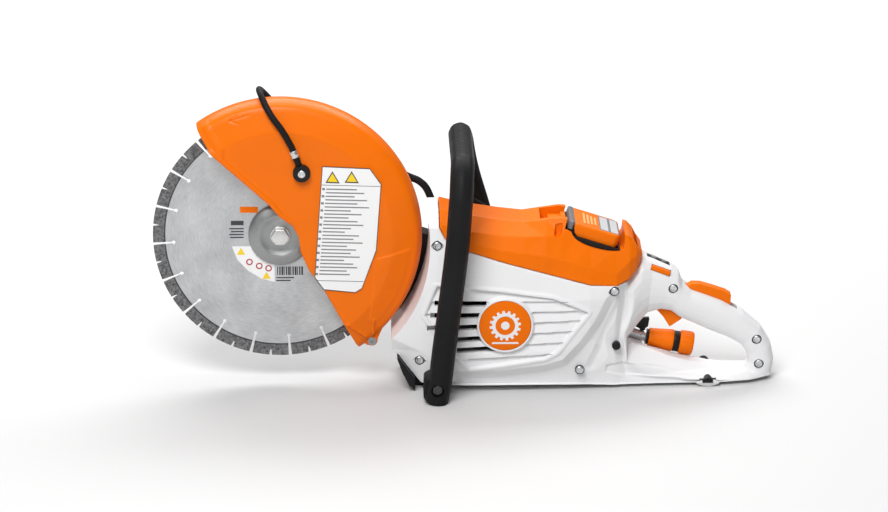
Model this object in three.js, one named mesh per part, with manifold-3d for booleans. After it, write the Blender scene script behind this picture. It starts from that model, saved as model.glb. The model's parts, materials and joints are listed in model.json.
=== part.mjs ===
// A battery powered rescue saw (cut-off saw) with a 300 mm segmented disc.
//
// Frame: +X runs from the disc towards the rear handle, +Y to the operator's right, +Z up.
// Everything is designed about the disc's axis, and the whole group is then moved so that the
// origin lies on the floor, under the middle of the machine. Units are millimetres.

import * as THREE from 'three';
import { ConvexGeometry } from 'three/addons/geometries/ConvexGeometry.js';
import { mergeVertices } from 'three/addons/utils/BufferGeometryUtils.js';
import Module from 'manifold-3d';

// ---------------------------------------------------------------- driving dimensions

const DISC_RADIUS = 150;
const GAP = 0.15;
const CRUMB = 0.02;

const DISC = { core: 1.25, segment: 1.7, rootRadius: 137, slots: 20, slotPhase: 4.2 };
const GUARD = { radius: 167.6, halfWidth: 28, flatRadius: 139, wall: 3.4 };
const FRONT_CUT_RADIUS = 176;
const MOTOR = { x: 232, z: -86, radius: 36 };
const PULLEY = { motorRadius: 16, spindleRadius: 32, y0: 44, y1: 54, beltThickness: 3.4 };
const BATTERY = { x: 371, z: 13, tilt: 18, length: 63, width: 66, depth: 132, capDepth: 24 };
const TUBE_RADIUS = 14;
const HOSE_RADIUS = 3.8;

const wasm = await Module();
wasm.setup();

// ---------------------------------------------------------------- shape helpers

/** Turns a closed three.js geometry into a solid with its faces pointing out. */
function solid(geometry) {
  const bare = geometry.index ? geometry.toNonIndexed() : geometry.clone();
  for (const name of Object.keys(bare.attributes)) {
    if (name !== 'position') bare.deleteAttribute(name);
  }
  const merged = mergeVertices(bare, 1e-3);
  const points = merged.attributes.position.array;
  const triangles = [];
  const corner = [new THREE.Vector3(), new THREE.Vector3(), new THREE.Vector3()];
  let volume = 0;
  for (let i = 0; i < merged.index.count; i += 3) {
    const abc = [0, 1, 2].map((k) => merged.index.getX(i + k));
    if (abc[0] === abc[1] || abc[1] === abc[2] || abc[2] === abc[0]) continue;
    abc.forEach((v, k) => corner[k].fromArray(points, 3 * v));
    volume += corner[0].dot(corner[1].cross(corner[2]));
    triangles.push(abc);
  }
  const outward = volume > 0 ? triangles : triangles.map(([a, b, c]) => [a, c, b]);
  const mesh = new wasm.Mesh({
    numProp: 3,
    vertProperties: new Float32Array(points),
    triVerts: new Uint32Array(outward.flat()),
  });
  return new wasm.Manifold(mesh);
}

function geometryOf(manifold) {
  const mesh = manifold.getMesh();
  const geometry = new THREE.BufferGeometry();
  geometry.setAttribute('position', new THREE.BufferAttribute(mesh.vertProperties, 3));
  geometry.setIndex(new THREE.BufferAttribute(mesh.triVerts, 1));
  geometry.computeVertexNormals();
  return geometry;
}

const join = (first, ...others) => others.reduce((sum, other) => sum.add(other), first);
const cut = (first, ...tools) => tools.reduce((rest, tool) => rest.subtract(tool), first);

/** Drops the crumbs that a boolean can leave, and keeps the one real body. */
function mainBody(manifold) {
  const bodies = manifold.simplify(CRUMB).decompose();
  return bodies.reduce((best, body) => (body.volume() > best.volume() ? body : best));
}

/** An outline of [x, z] points, extruded from y0 to y1. */
function prism(outline, y0, y1) {
  const shape = new THREE.Shape(outline.map(([x, z]) => new THREE.Vector2(x, z)));
  const geometry = new THREE.ExtrudeGeometry(shape, { depth: y1 - y0, bevelEnabled: false });
  return solid(geometry.rotateX(Math.PI / 2).translate(0, y1, 0));
}

function box(low, high) {
  const size = high.map((v, i) => v - low[i]);
  const middle = high.map((v, i) => (v + low[i]) / 2);
  return solid(new THREE.BoxGeometry(...size).translate(...middle));
}

/** A cylinder or cone along Y, from y0 to y1. */
function rod(x, z, y0, y1, radius, sides = 24, farRadius = radius) {
  const geometry = new THREE.CylinderGeometry(farRadius, radius, y1 - y0, sides);
  return solid(geometry.translate(x, (y0 + y1) / 2, z));
}

/** A turned piece about the Y axis through (x, z); its profile is a list of [radius, y]. */
function turned(x, z, profile, sides = 32) {
  const points = profile.map(([r, y]) => new THREE.Vector2(r, y));
  return solid(new THREE.LatheGeometry(points, sides).translate(x, 0, z));
}

const vector = (point) => new THREE.Vector3(...point);
const hull = (points) => solid(new ConvexGeometry(points.map(vector)));

/**
 * Stretches one closed surface over successive rings of points, and caps both ends. Every ring
 * is convex and has as many points as its neighbours.
 */
function loft(rings) {
  const count = rings[0].length;
  if (rings.some((points) => points.length !== count)) throw new Error('the rings differ in size');
  const triangles = [];
  for (let ring = 0; ring + 1 < rings.length; ring += 1) {
    for (let i = 0; i < count; i += 1) {
      const [a, b] = [ring * count + i, ring * count + ((i + 1) % count)];
      triangles.push(a, b, b + count, a, b + count, a + count);
    }
  }
  const last = (rings.length - 1) * count;
  for (let i = 1; i + 1 < count; i += 1) {
    triangles.push(0, i + 1, i, last, last + i, last + i + 1);
  }
  const geometry = new THREE.BufferGeometry().setFromPoints(rings.flat().map(vector));
  geometry.setIndex(triangles);
  return solid(geometry);
}

/** A symmetric ring at one x; its right half is a list of [half width, z] from the top down. */
function ring(x, half) {
  const right = half.map(([w, z]) => [x, w, z]);
  const left = half.map(([w, z]) => [x, -w, z]).reverse();
  return [...right, ...left];
}

/** A round bar or hose along a smooth curve through the points. */
function bar(points, radius, sides, steps) {
  const path = new THREE.CatmullRomCurve3(points.map(vector), false, 'centripetal');
  const corners = Array.from({ length: sides }, (_, i) => {
    const angle = (2 * Math.PI * i) / sides;
    return new THREE.Vector2(radius * Math.cos(angle), radius * Math.sin(angle));
  });
  const options = { steps, extrudePath: path, bevelEnabled: false };
  return solid(new THREE.ExtrudeGeometry(new THREE.Shape(corners), options));
}

/** The stadium-shaped outline around two circles given as [x, z, radius]. */
function beltOutline([x0, z0, r0], [x1, z1, r1], stepsPerEnd = 10) {
  const reach = Math.hypot(x1 - x0, z1 - z0);
  const heading = Math.atan2(z1 - z0, x1 - x0);
  const lean = Math.acos((r0 - r1) / reach);
  const arc = (x, z, r, from, to) => Array.from({ length: stepsPerEnd + 1 }, (_, i) => {
    const angle = from + ((to - from) * i) / stepsPerEnd;
    return [x + r * Math.cos(angle), z + r * Math.sin(angle)];
  });
  const near = arc(x0, z0, r0, heading + lean, heading + 2 * Math.PI - lean);
  const far = arc(x1, z1, r1, heading - lean, heading + lean);
  return [...near, ...far];
}

// ---------------------------------------------------------------- the assembly

const saw = new THREE.Group();

function finish(color, roughness, metalness = 0) {
  return { color, roughness, metalness };
}

const WHITE = finish(0xe9e9ea, 0.45);
const ORANGE = finish(0xf57a0b, 0.4);
const BLACK = finish(0x1c1c1e, 0.6);
const GREY = finish(0x8d8f92, 0.5);
const STEEL = finish(0xb9bbbe, 0.35, 0.9);
const DARK_STEEL = finish(0x55575a, 0.6, 0.6);
const ALUMINIUM = finish(0xa3a6aa, 0.45, 0.8);
const COPPER = finish(0x9c5a34, 0.5, 0.6);

/** Adds one named piece; group is a nested group, or the saw itself. */
function piece(name, manifold, look, group = saw) {
  const mesh = new THREE.Mesh(geometryOf(mainBody(manifold)), new THREE.MeshStandardMaterial(look));
  mesh.name = name;
  group.add(mesh);
}

// ---------------------------------------------------------------- casing and rear handle

const REACH = 400;
const LEFT_SIDE = box([-REACH, -REACH, -REACH], [REACH * 2, -GAP, REACH]);
const RIGHT_SIDE = box([-REACH, GAP, -REACH], [REACH * 2, REACH, REACH]);

const BODY_RINGS = [
  ring(131, [[22, 33], [34, 22], [44, -60], [44, -100], [44, -116], [38, -131]]),
  ring(165, [[24, 36.5], [42, 20], [53, -60], [53, -110], [53, -130], [46, -171]]),
  ring(186.5, [[24, 37], [47, 20], [57, -40], [60, -110], [60, -148], [54, -172]]),
  ring(187, [[24, 19.7], [47, 19.5], [57, -40], [60, -110], [60, -148], [54, -172]]),
  ring(194, [[30, 6.2], [50, 6], [58, -40], [61, -110], [61, -148], [54, -172]]),
  ring(219, [[30, -9], [54, -9.2], [60, -40], [62, -85], [62, -135], [56, -172]]),
  ring(258, [[30, -22], [57, -22.2], [62, -60], [62, -100], [62, -133], [56, -172]]),
  ring(329, [[30, -43], [58, -43.2], [62, -66], [61, -100], [60, -128], [53, -173]]),
  ring(364, [[30, -54], [57, -54.2], [60, -66], [58, -92], [56, -118], [50, -174]]),
  ring(395, [[30, -51], [52, -51.2], [54, -70], [46, -122], [48, -148], [47, -176]]),
  ring(409, [[24, -50], [38, -50.2], [38, -74], [33, -120], [37, -146], [43, -176]]),
];

/** One ring across the rear grip, from its top edge to its bottom edge. */
function gripRing([topX, topZ], [bottomX, bottomZ], halfWidth) {
  const levels = [[0, 0.45], [0.16, 0.85], [0.45, 1], [0.8, 0.88], [1, 0.5]];
  const side = (sign) => levels.map(([t, share]) => {
    const x = topX + (bottomX - topX) * t;
    const z = topZ + (bottomZ - topZ) * t;
    return [x, sign * share * halfWidth, z];
  });
  return [...side(1), ...side(-1).reverse()];
}

const GRIP_RINGS = [
  gripRing([391, -56], [390, -136], 44),
  gripRing([410, -46], [408, -128], 41),
  gripRing([428, -26.5], [424, -108], 31),
  gripRing([440, -30.8], [434, -97], 25),
  gripRing([462, -41], [450, -93], 22),
  gripRing([471, -48], [462, -95], 21),
  gripRing([475, -60], [472, -103], 20),
  gripRing([486, -70], [480, -107], 19),
  gripRing([504, -76.5], [489, -111], 18.5),
  gripRing([523, -84], [507, -119.5], 18.5),
  gripRing([548, -99], [530, -129], 18.5),
  gripRing([569, -117.5], [546, -138], 18.5),
  gripRing([581.5, -138.5], [553, -149], 19),
  gripRing([585, -157], [555, -160], 20),
  gripRing([582, -173], [549, -168], 22),
];

const BASE_RINGS = [
  ring(386, [[14, -126], [42, -148], [43, -170], [43, -174]]),
  ring(397, [[14, -127], [43, -150], [46, -171], [46, -176]]),
  ring(415, [[12, -134], [37, -153], [43, -172], [44, -176]]),
  ring(462, [[11, -152], [32, -165], [41, -172], [41, -176]]),
  ring(522, [[11, -167], [30, -171], [39, -174], [39, -176]]),
  ring(556, [[11, -168], [26, -170], [32, -174], [32, -176]]),
  ring(581, [[11, -170], [17, -172], [17, -174], [14, -176]]),
];

/** The battery's space, in the battery's own frame, grown by a clearance. */
function batterySpace(clearance, top, bottom) {
  const half = [BATTERY.length / 2 + clearance, BATTERY.width / 2 + clearance];
  const geometry = new THREE.BoxGeometry(2 * half[0], 2 * half[1], top - bottom);
  geometry.translate(0, 0, (top + bottom) / 2);
  geometry.rotateY(THREE.MathUtils.degToRad(BATTERY.tilt));
  return solid(geometry.translate(BATTERY.x, 0, BATTERY.z));
}

const SHAFT = { clearance: 1, wall: 2.5, floor: 3 };
const ARM_Y0 = 34;

const TRIGGER = { pivotX: 446, pivotZ: -88, halfWidth: 6 };
const LOCKOUT = { pivotX: 487, pivotZ: -76, halfWidth: 7 };
const PANEL = { x0: 433, z0: -29.2, x1: 461, z1: -41, halfWidth: 7, thickness: 1.6 };
const PANEL_TILT = Math.atan2(PANEL.z0 - PANEL.z1, PANEL.x1 - PANEL.x0);
const BUTTONS = [{ name: 'power_button', x: 441.5 }, { name: 'water_button', x: 453.5 }];
const BUTTON = { radius: 3.4, proud: 1.4, depth: 6 };
const LATCH = { x: 449, z: -42.6, length: 24, height: 5.6, tilt: 22 };

const CASING_SCREWS = [
  { x: 184.5, z: -1, y: -46 },
  { x: 163.5, z: -142, y: -46 },
  { x: 393, z: -58, y: -49 },
  { x: 352.5, z: -155, y: -48.5 },
  { x: 464, z: -65, y: -16.5 },
  { x: 564, z: -130, y: -13.5 },
  { x: 567, z: -160, y: -14.5 },
];
const SCREW = { headRadius: 4.7, headHeight: 3.2, shankRadius: 2, length: 12, socket: 2.4 };

/** A box in a frame turned about Y by angle (degrees), centred on x, z. */
function turnedBox(x, z, angle, length, y0, y1, height) {
  const geometry = new THREE.BoxGeometry(length, y1 - y0, height);
  geometry.rotateY(THREE.MathUtils.degToRad(angle));
  return solid(geometry.translate(x, (y0 + y1) / 2, z));
}

const BADGE = { x: 264, z: -95.5, discRadius: 31 };
const SKID_OUTLINE = [[136.6, -139], [138.6, -138], [163.4, -171.7], [196, -172.4], [198, -179],
  [194, -180], [160, -180], [151, -173], [143, -157]];
const SKID_SPACE = [[110, -120], [131, -133.5], [139, -137.6], [164, -171.4], [205, -172.2],
  [205, -190], [110, -190]];
const LOUVRES = [-66, -83, -98, -113, -127];

function casing() {
  const outer = join(loft(BODY_RINGS), loft(GRIP_RINGS), loft(BASE_RINGS));
  const inner = loft([
    ring(181, [[19, 31.5], [42, 15], [54, -110], [52, -160]]),
    ring(187, [[19, 32], [43, 15], [56, -110], [54, -165]]),
    ring(188, [[43, 36], [44, 14], [56, -110], [54, -165]]),
    ring(219, [[48, 12], [57, -85], [57, -135], [51, -168]]),
    ring(329, [[52, -30], [57, -66], [55, -128], [49, -168]]),
    ring(364, [[52, -40], [54, -66], [51, -118], [46, -168]]),
    ring(388, [[46, -50], [48, -72], [41, -120], [38, -168]]),
    ring(404, [[32, -70], [33, -100], [30, -140], [30, -168]]),
  ]);
  const pockets = CASING_SCREWS.flatMap(({ x, z, y }) => [
    rod(x, z, y - 30, y, SCREW.headRadius + 1, 14),
    rod(x, z, y - 1, y + SCREW.length, SCREW.shankRadius + 0.4, 8),
  ]);
  const slots = LOUVRES.map((z) => box([181, -80, z - 1.6], [226, -50, z + 1.6]));
  const panelSeat = turnedBox((PANEL.x0 + PANEL.x1) / 2, (PANEL.z0 + PANEL.z1) / 2,
    THREE.MathUtils.radToDeg(PANEL_TILT), 30, -PANEL.halfWidth - 0.4, PANEL.halfWidth + 0.4, 4.6);
  return cut(outer, inner, ...pockets, ...slots, panelSeat,
    rod(0, 0, -80, 80, FRONT_CUT_RADIUS, 96), prism(SKID_SPACE, -80, 80),
    batterySpace(SHAFT.clearance + SHAFT.wall + 0.4, 60, -BATTERY.depth - SHAFT.floor - 2),
    prism(beltOutline([0, 0, 46], [MOTOR.x, MOTOR.z, 53]), ARM_Y0 - GAP, 80),
    rod(MOTOR.x, MOTOR.z, 0, 80, 15, 24),
    rod(BADGE.x, BADGE.z, -80, -58.6, BADGE.discRadius + 0.3, 36),
    rod(BADGE.x, BADGE.z, -60, -50, 3, 12));
}

/** Pockets in the grip for the trigger, the lockout lever and their switch. */
function gripPockets() {
  const triggerBay = prism([[438, -80], [484, -88], [486, -114], [434, -106]],
    -TRIGGER.halfWidth - 0.6, TRIGGER.halfWidth + 0.6);
  const switchBay = box([444, -7.4, -84], [470, 7.4, -60]);
  const lockoutBay = prism([[479, -62], [484, -84], [540, -113], [541, -92], [500, -70]],
    -LOCKOUT.halfWidth - 0.6, LOCKOUT.halfWidth + 0.6);
  const latchBay = turnedBox(LATCH.x, LATCH.z, LATCH.tilt, LATCH.length + 1, -40, -8,
    LATCH.height + 1);
  const buttonBays = BUTTONS.map(({ x }) => buttonRod(x, BUTTON.radius + 0.5, -BUTTON.depth - 3, 5));
  return [triggerBay, switchBay, lockoutBay, latchBay, ...buttonBays];
}

/** A cylinder square to the control panel, at x along it. */
function buttonRod(x, radius, bottom, top) {
  const geometry = new THREE.CylinderGeometry(radius, radius, top - bottom, 20);
  geometry.rotateX(Math.PI / 2).translate(0, 0, (top + bottom) / 2);
  geometry.rotateY(PANEL_TILT);
  const z = PANEL.z0 - (x - PANEL.x0) * Math.tan(PANEL_TILT);
  return solid(geometry.translate(x, 0, z));
}

const WATER_Y = 14;
const COUPLING = { x: 434, y: WATER_Y, z: -135, tilt: 10 };
const inletCut = bar([[398, WATER_Y, -119], [418, WATER_Y, -130.2], [434, WATER_Y, -134.5]], 8, 12, 8);
const couplingSpace = bar([[430, WATER_Y, -134.3], [460, WATER_Y, -139.6], [500, WATER_Y, -146.6]],
  15.4, 20, 4);
const SUPPLY_HOSE = [
  [37.5, 34, 92.5], [50, 34.5, 97], [72, 36, 99], [100, 37.5, 90], [127, 38.5, 73.5],
  [141, 39, 64], [153, 39, 57.8], [164, 38.5, 53], [172.5, 38, 45], [178.5, 37.5, 32],
  [182, 37, 18], [183.5, 36, 8],
];
const hoseInlet = bar(SUPPLY_HOSE.slice(-5), 5, 10, 12);
const plugHole = rod(396, -128, -60, -36, 5.2, 16);

const wholeCasing = cut(casing(), ...gripPockets(), inletCut, couplingSpace, hoseInlet, plugHole);
const footHoles = [-34, 34].map((y) => box([495, y - 6.4, -185], [515, y + 6.4, -171.8]));
const pinHoles = [
  rod(TRIGGER.pivotX, TRIGGER.pivotZ, -14, 14, 1.8, 12),
  rod(LOCKOUT.pivotX, LOCKOUT.pivotZ, -14, 14, 1.8, 12),
];
const LOW_BOLT = { x: 183.5, z: -161.5, head: -99.5, length: 58 };
const boreLow = rod(LOW_BOLT.x, LOW_BOLT.z, -62, -40, 3.4, 12);
const finishedCasing = cut(wholeCasing, ...footHoles, ...pinHoles);
piece('left_casing', cut(finishedCasing.intersect(LEFT_SIDE), boreLow), WHITE);
piece('right_casing', finishedCasing.intersect(RIGHT_SIDE), WHITE);

CASING_SCREWS.forEach(({ x, z, y }, i) => {
  const top = y - SCREW.headHeight;
  const head = rod(x, z, top, y - GAP, SCREW.headRadius, 14);
  const shank = rod(x, z, y - 1, y + SCREW.length - 1, SCREW.shankRadius, 8);
  piece(`casing_screw_${i + 1}`, cut(join(head, shank), rod(x, z, top - 1, top + 2, SCREW.socket, 6)),
    STEEL);
});

// ---------------------------------------------------------------- hood, badge, panel and feet

const HOOD_RINGS = [
  ring(187.4, [[24, 38], [44, 27], [48, 22.5], [48.5, 20.7]]),
  ring(194.2, [[24, 36], [46, 23], [50, 10], [50.5, 6.6]]),
  ring(219, [[25, 30], [48, 16], [54, 2], [54.5, -8.5]]),
  ring(258, [[25, 24], [49, 11], [56, -6], [57.5, -21.5]]),
  ring(286, [[25, 20.8], [49, 9], [57, -10], [58, -29.9]]),
  ring(312, [[27, 24], [46, 9], [57, -14], [58, -37.5]]),
  ring(330, [[29, 26], [42, 8], [56, -19], [58, -42.7]]),
  ring(345, [[30, 24], [40.5, 2], [55, -23], [58, -47.4]]),
  ring(364.4, [[30, 21], [40.5, -5], [53.5, -30], [57, -53.4]]),
  ring(395.4, [[29, 17], [39.5, -12], [49.5, -38], [52, -50.3]]),
  ring(411, [[24, 14], [34, -3], [42, -24], [42, -39.8]]),
  ring(420, [[19, 5], [28, -4], [35, -18], [34, -31.2]]),
  ring(426.5, [[12, -12], [18, -15], [25, -19], [24, -22.8]]),
];
const SCALLOP = [[341, 70], [341, 12], [348, 2], [364, -5], [382, -11], [397, -13], [404, -7],
  [407, 8], [407, 70]];
const FINGER_RECESS = { x0: 306, x1: 340, halfWidth: 21, floor: 11 };

function hood() {
  const inner = loft([
    ring(191.5, [[18, 32], [40, 19], [44, -20]]),
    ring(219, [[20, 25.5], [43, 12], [50, -30]]),
    ring(286, [[20, 16], [44, 4.5], [53, -45]]),
    ring(301, [[20, 7], [42, 1], [53, -51]]),
    ring(334, [[24, 7], [36, 1], [50, -60]]),
  ]);
  const { x0, x1, halfWidth, floor } = FINGER_RECESS;
  return cut(loft(HOOD_RINGS), inner, prism(SCALLOP, -70, 70),
    batterySpace(SHAFT.clearance + SHAFT.wall + 0.3, 60, -BATTERY.depth),
    box([x0, -halfWidth, floor], [x1, halfWidth, floor + 40]));
}
piece('battery_hood', hood(), ORANGE);

const shaftWalls = cut(
  batterySpace(SHAFT.clearance + SHAFT.wall, -14, -BATTERY.depth - SHAFT.floor),
  batterySpace(SHAFT.clearance, 10, -BATTERY.depth - 0.3),
);
piece('battery_shaft', shaftWalls, BLACK);

const badgeProfile = [[0, -62.8], [BADGE.discRadius - 3, -62.8], [BADGE.discRadius - 0.4, -61.8],
  [BADGE.discRadius - 0.4, -58.9], [2.6, -58.9], [2.6, -53], [0, -53]];
piece('badge', turned(BADGE.x, BADGE.z, badgeProfile, 36), ORANGE);

const panelMiddle = [(PANEL.x0 + PANEL.x1) / 2, (PANEL.z0 + PANEL.z1) / 2];
const panelPlate = turnedBox(panelMiddle[0] - 0.3, panelMiddle[1] - 0.6,
  THREE.MathUtils.radToDeg(PANEL_TILT), 29, -PANEL.halfWidth, PANEL.halfWidth, PANEL.thickness);
const buttonHoles = BUTTONS.map(({ x }) => buttonRod(x, BUTTON.radius + 0.4, -8, 8));
piece('control_panel', cut(panelPlate, ...buttonHoles), BLACK);
for (const { name, x } of BUTTONS) {
  piece(name, buttonRod(x, BUTTON.radius, -BUTTON.depth, BUTTON.proud), GREY);
}

piece('front_skid', cut(prism(SKID_OUTLINE, -52, 52).subtract(box([158, -80, -185], [204, -30, -150]))),
  BLACK);

for (const [name, y] of [['rear_foot_left', -34], ['rear_foot_right', 34]]) {
  const sole = [[493, -180], [517, -180], [519, -178], [519, -176.3], [491, -176.3], [491, -178]];
  const stem = box([496, y - 6, -177], [514, y + 6, -172.2]);
  piece(name, join(prism(sole, y - 7, y + 7), stem), BLACK);
}

// ---------------------------------------------------------------- front handle

const HANDLE_POINTS = [
  [182.2, -95, -177.5], [184.6, -95, -165], [187.4, -95, -148], [190.6, -95, -120],
  [195, -95, -85], [206, -95, 4], [210, -95, 54], [211.5, -92.5, 73], [212.5, -83, 91],
  [213.5, -67, 100.5], [214, -50, 102.5], [214, 0, 102.5], [214, 54, 102.5], [214.5, 72, 100],
  [216.5, 86, 90], [219, 93.5, 73], [222.5, 94.5, 55], [227.5, 92.5, 36], [235, 86, 12],
  [240.5, 80, -8], [244, 77, -22],
];
const handleTube = bar(HANDLE_POINTS, TUBE_RADIUS, 12, 38);
const lowFoot = prism([[168, -152], [174, -148.5], [190, -148.5], [196, -158], [193, -176],
  [189, -178.5], [173, -178.5], [167, -174]], -95, -62.8);
const highFoot = prism([[228, 24], [244, 14], [254, 0], [257, -30], [233, -30]], 62.6, 74);
const HIGH_BOLT = { x: 244, z: -14, head: 72.3, length: 9 };
const handle = cut(join(handleTube, lowFoot, highFoot), box([100, -120, -200], [260, 120, -179.7]),
  rod(LOW_BOLT.x, LOW_BOLT.z, -120, -50, 3.4, 10),
  rod(LOW_BOLT.x, LOW_BOLT.z, -120, LOW_BOLT.head + 0.3, 7.6, 16),
  rod(HIGH_BOLT.x, HIGH_BOLT.z, 50, 100, 3.4, 10),
  rod(HIGH_BOLT.x, HIGH_BOLT.z, HIGH_BOLT.head - 0.3, 110, 6.6, 12));
piece('front_handle', handle, BLACK);

/** A bolt along Y whose head stands outwards; side is -1 on the left, 1 on the right. */
function bolt({ x, z, head, length }, side) {
  const top = head + 4 * side;
  const end = head - length * side;
  const hexagon = rod(x, z, Math.min(head, top), Math.max(head, top), 6, 6);
  return join(hexagon, rod(x, z, Math.min(head, end), Math.max(head, end), 3, 12));
}
piece('handle_bolt_low', bolt(LOW_BOLT, -1), DARK_STEEL);
piece('handle_bolt_high', bolt(HIGH_BOLT, 1), DARK_STEEL);

// ---------------------------------------------------------------- arm, belt drive and motor

const motorCircle = (r) => [MOTOR.x, MOTOR.z, r];
const HUB = { radius: 29, bearing: 16, y0: 9 };

function armCasting() {
  const plate = prism(beltOutline([0, 0, 44], motorCircle(51)), 34.4, 40);
  const rim = cut(prism(beltOutline([0, 0, 44], motorCircle(51)), 39, 58),
    prism(beltOutline([0, 0, 40], motorCircle(47)), 40, 60));
  const hub = rod(0, 0, HUB.y0, 40, HUB.radius, 32);
  return cut(join(plate, rim, hub),
    rod(0, 0, 0, 70, HUB.bearing + 0.2, 24),
    rod(MOTOR.x, MOTOR.z, 0, 60, 9, 24));
}
piece('arm_casting', armCasting(), BLACK);
const coverPlate = prism(beltOutline([0, 0, 44], motorCircle(51)), 58.3, 60.5);
const coverCrown = prism(beltOutline([0, 0, 37], motorCircle(44)), 60, 62.5);
piece('belt_cover', join(coverPlate, coverCrown), BLACK);

const beltLoop = cut(
  prism(beltOutline([0, 0, PULLEY.spindleRadius + PULLEY.beltThickness],
    motorCircle(PULLEY.motorRadius + PULLEY.beltThickness)), PULLEY.y0 + 1, PULLEY.y1 - 1),
  prism(beltOutline([0, 0, PULLEY.spindleRadius + 0.7], motorCircle(PULLEY.motorRadius + 0.7)),
    PULLEY.y0, PULLEY.y1));
piece('drive_belt', beltLoop, BLACK);

const annulus = (inner, outer, y0, y1) =>
  [[inner, y0], [outer, y0], [outer, y1], [inner, y1], [inner, y0]];
piece('bearing_inner', turned(0, 0, annulus(8.2, HUB.bearing, 11, 21), 20), STEEL);
piece('bearing_outer', turned(0, 0, annulus(8.2, HUB.bearing, 29, 39), 20), STEEL);

piece('motor_stator', turned(MOTOR.x, MOTOR.z, annulus(23, MOTOR.radius, -26, 22), 24), COPPER);
piece('motor_controller', box([262, -30, -166], [372, 30, -146]), BLACK);

const rotorProfile = [[0, -46], [5, -46], [5, -24], [22, -24], [22, 20], [6, 20], [6, 43.5],
  [0, 43.5]];
piece('motor_rotor', turned(MOTOR.x, MOTOR.z, rotorProfile, 20), DARK_STEEL);
const pulleyProfile = (bore, r, y0, y1) => [[bore, y0], [r + 3, y0], [r + 3, y0 + 0.8],
  [r, y0 + 0.9], [r, y1 - 0.9], [r + 3, y1 - 0.8], [r + 3, y1], [bore, y1], [bore, y0]];
piece('motor_pulley', cut(turned(MOTOR.x, MOTOR.z,
  [[0, 43.8], ...pulleyProfile(0, PULLEY.motorRadius, PULLEY.y0, PULLEY.y1).slice(1, -1), [0, PULLEY.y1]],
  20)), STEEL);
const fanHub = turned(MOTOR.x, MOTOR.z, [[5.3, -46], [12, -46], [12, -34], [5.3, -34], [5.3, -46]], 16);
const fanPlate = turned(MOTOR.x, MOTOR.z, annulus(5.3, 35, -35, -33), 24);
const fanBlades = Array.from({ length: 7 }, (_, i) => {
  const blade = new THREE.BoxGeometry(20, 11, 1.6).translate(23.5, -40, 0);
  blade.rotateY((2 * Math.PI * i) / 7);
  return solid(blade.translate(MOTOR.x, 0, MOTOR.z));
});
piece('cooling_fan', join(fanPlate, fanHub, ...fanBlades), BLACK);

// ---------------------------------------------------------------- spindle and disc

const spindleProfile = [[0, -9.6], [6, -9.6], [6, 1.6], [8, 2.2], [8, 56], [0, 56]];
piece('spindle', turned(0, 0, spindleProfile, 20), STEEL);
piece('spindle_pulley', turned(0, 0,
  pulleyProfile(8.3, PULLEY.spindleRadius, PULLEY.y0, PULLEY.y1), 24), ALUMINIUM);
piece('inner_flange', turned(0, 0, [[8.3, 2.1], [37, 2.1], [37, 4.5], [26, 8.6], [8.3, 8.6],
  [8.3, 2.1]], 30), STEEL);
piece('outer_flange', turned(0, 0, [[6.3, -9.6], [21, -9.6], [24, -6.6], [32, -5], [37.5, -4],
  [37.5, -1.6], [6.3, -1.6], [6.3, -9.6]], 36), GREY);
const boltHead = rod(0, 0, -14.5, -10, 11, 6);
piece('disc_bolt', join(boltHead, rod(0, 0, -10.8, -9.9, 12.6, 20)), STEEL);

function cuttingDisc() {
  const half = [[6.3, DISC.core], [DISC.rootRadius, DISC.core], [DISC.rootRadius, DISC.segment],
    [DISC_RADIUS, DISC.segment]];
  const otherHalf = half.map(([r, y]) => [r, -y]).reverse();
  const blank = turned(0, 0, [...half, ...otherHalf, half[0]], 80);
  const slots = Array.from({ length: DISC.slots }, (_, i) => {
    const slot = new THREE.Shape([[126, -1], [152, -2.1], [152, 2.1], [126, 1]]
      .map(([x, y]) => new THREE.Vector2(x, y)));
    const geometry = new THREE.ExtrudeGeometry(slot, { depth: 6, bevelEnabled: false });
    geometry.rotateX(Math.PI / 2).translate(0, 3, 0);
    const keyhole = new THREE.CylinderGeometry(2.3, 2.3, 6, 8).translate(126, 0, 0);
    const angle = -THREE.MathUtils.degToRad(DISC.slotPhase + (360 / DISC.slots) * i);
    return join(solid(geometry.rotateY(angle)), solid(keyhole.rotateY(angle)));
  });
  return cut(blank, ...slots);
}
piece('cutting_disc', cuttingDisc(), STEEL);

// ---------------------------------------------------------------- guard

const GUARD_KEEP = [[-104, 146.5], [-80.8, 106], [-12.5, 43.7], [-0.7, 28.8], [14.6, 17.6],
  [21.7, 3.9], [24, -14.6], [34, -37.6], [49.9, -59.3], [97.5, -147], [200, -147], [200, 200],
  [-104, 200]];
const LUG = { x: 108, z: -128.5, radius: 7, halfWidth: 14 };

/** One shell of the guard; side is -1 for the left shell and 1 for the right one. */
function guardShell(side) {
  const { radius, halfWidth, flatRadius, wall } = GUARD;
  const outer = [[0, halfWidth], [flatRadius, halfWidth], [150, 26.6], [158.5, 21.6],
    [164.6, 13], [radius, GAP]];
  const inner = [[radius - wall, GAP], [161.3, 11.6], [156, 19], [148.6, 23.4],
    [flatRadius, halfWidth - wall], [0, halfWidth - wall]];
  const profile = [...outer, ...inner].map(([r, y]) => [r, y * side]);
  const shell = turned(0, 0, profile, 72).intersect(prism(GUARD_KEEP, -60, 60));
  const lug = prism([[96, -128], [102, -135], [113, -133], [115, -126], [120, -114], [108, -110]],
    side < 0 ? -LUG.halfWidth : GAP, side < 0 ? -GAP : LUG.halfWidth);
  const shaped = cut(join(shell, cut(lug, rod(0, 0, -60, 60, radius - wall, 72))),
    rod(LUG.x, LUG.z, -40, 40, 2.8, 10));
  if (side < 0) return cut(shaped, rod(LUG.x, LUG.z, -60, -LUG.halfWidth, 5.6, 14));
  const hubRing = rod(0, 0, halfWidth - wall, halfWidth, 46, 32);
  return cut(join(shaped, hubRing), rod(0, 0, 0, 60, HUB.radius + 0.4, 32));
}
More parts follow.
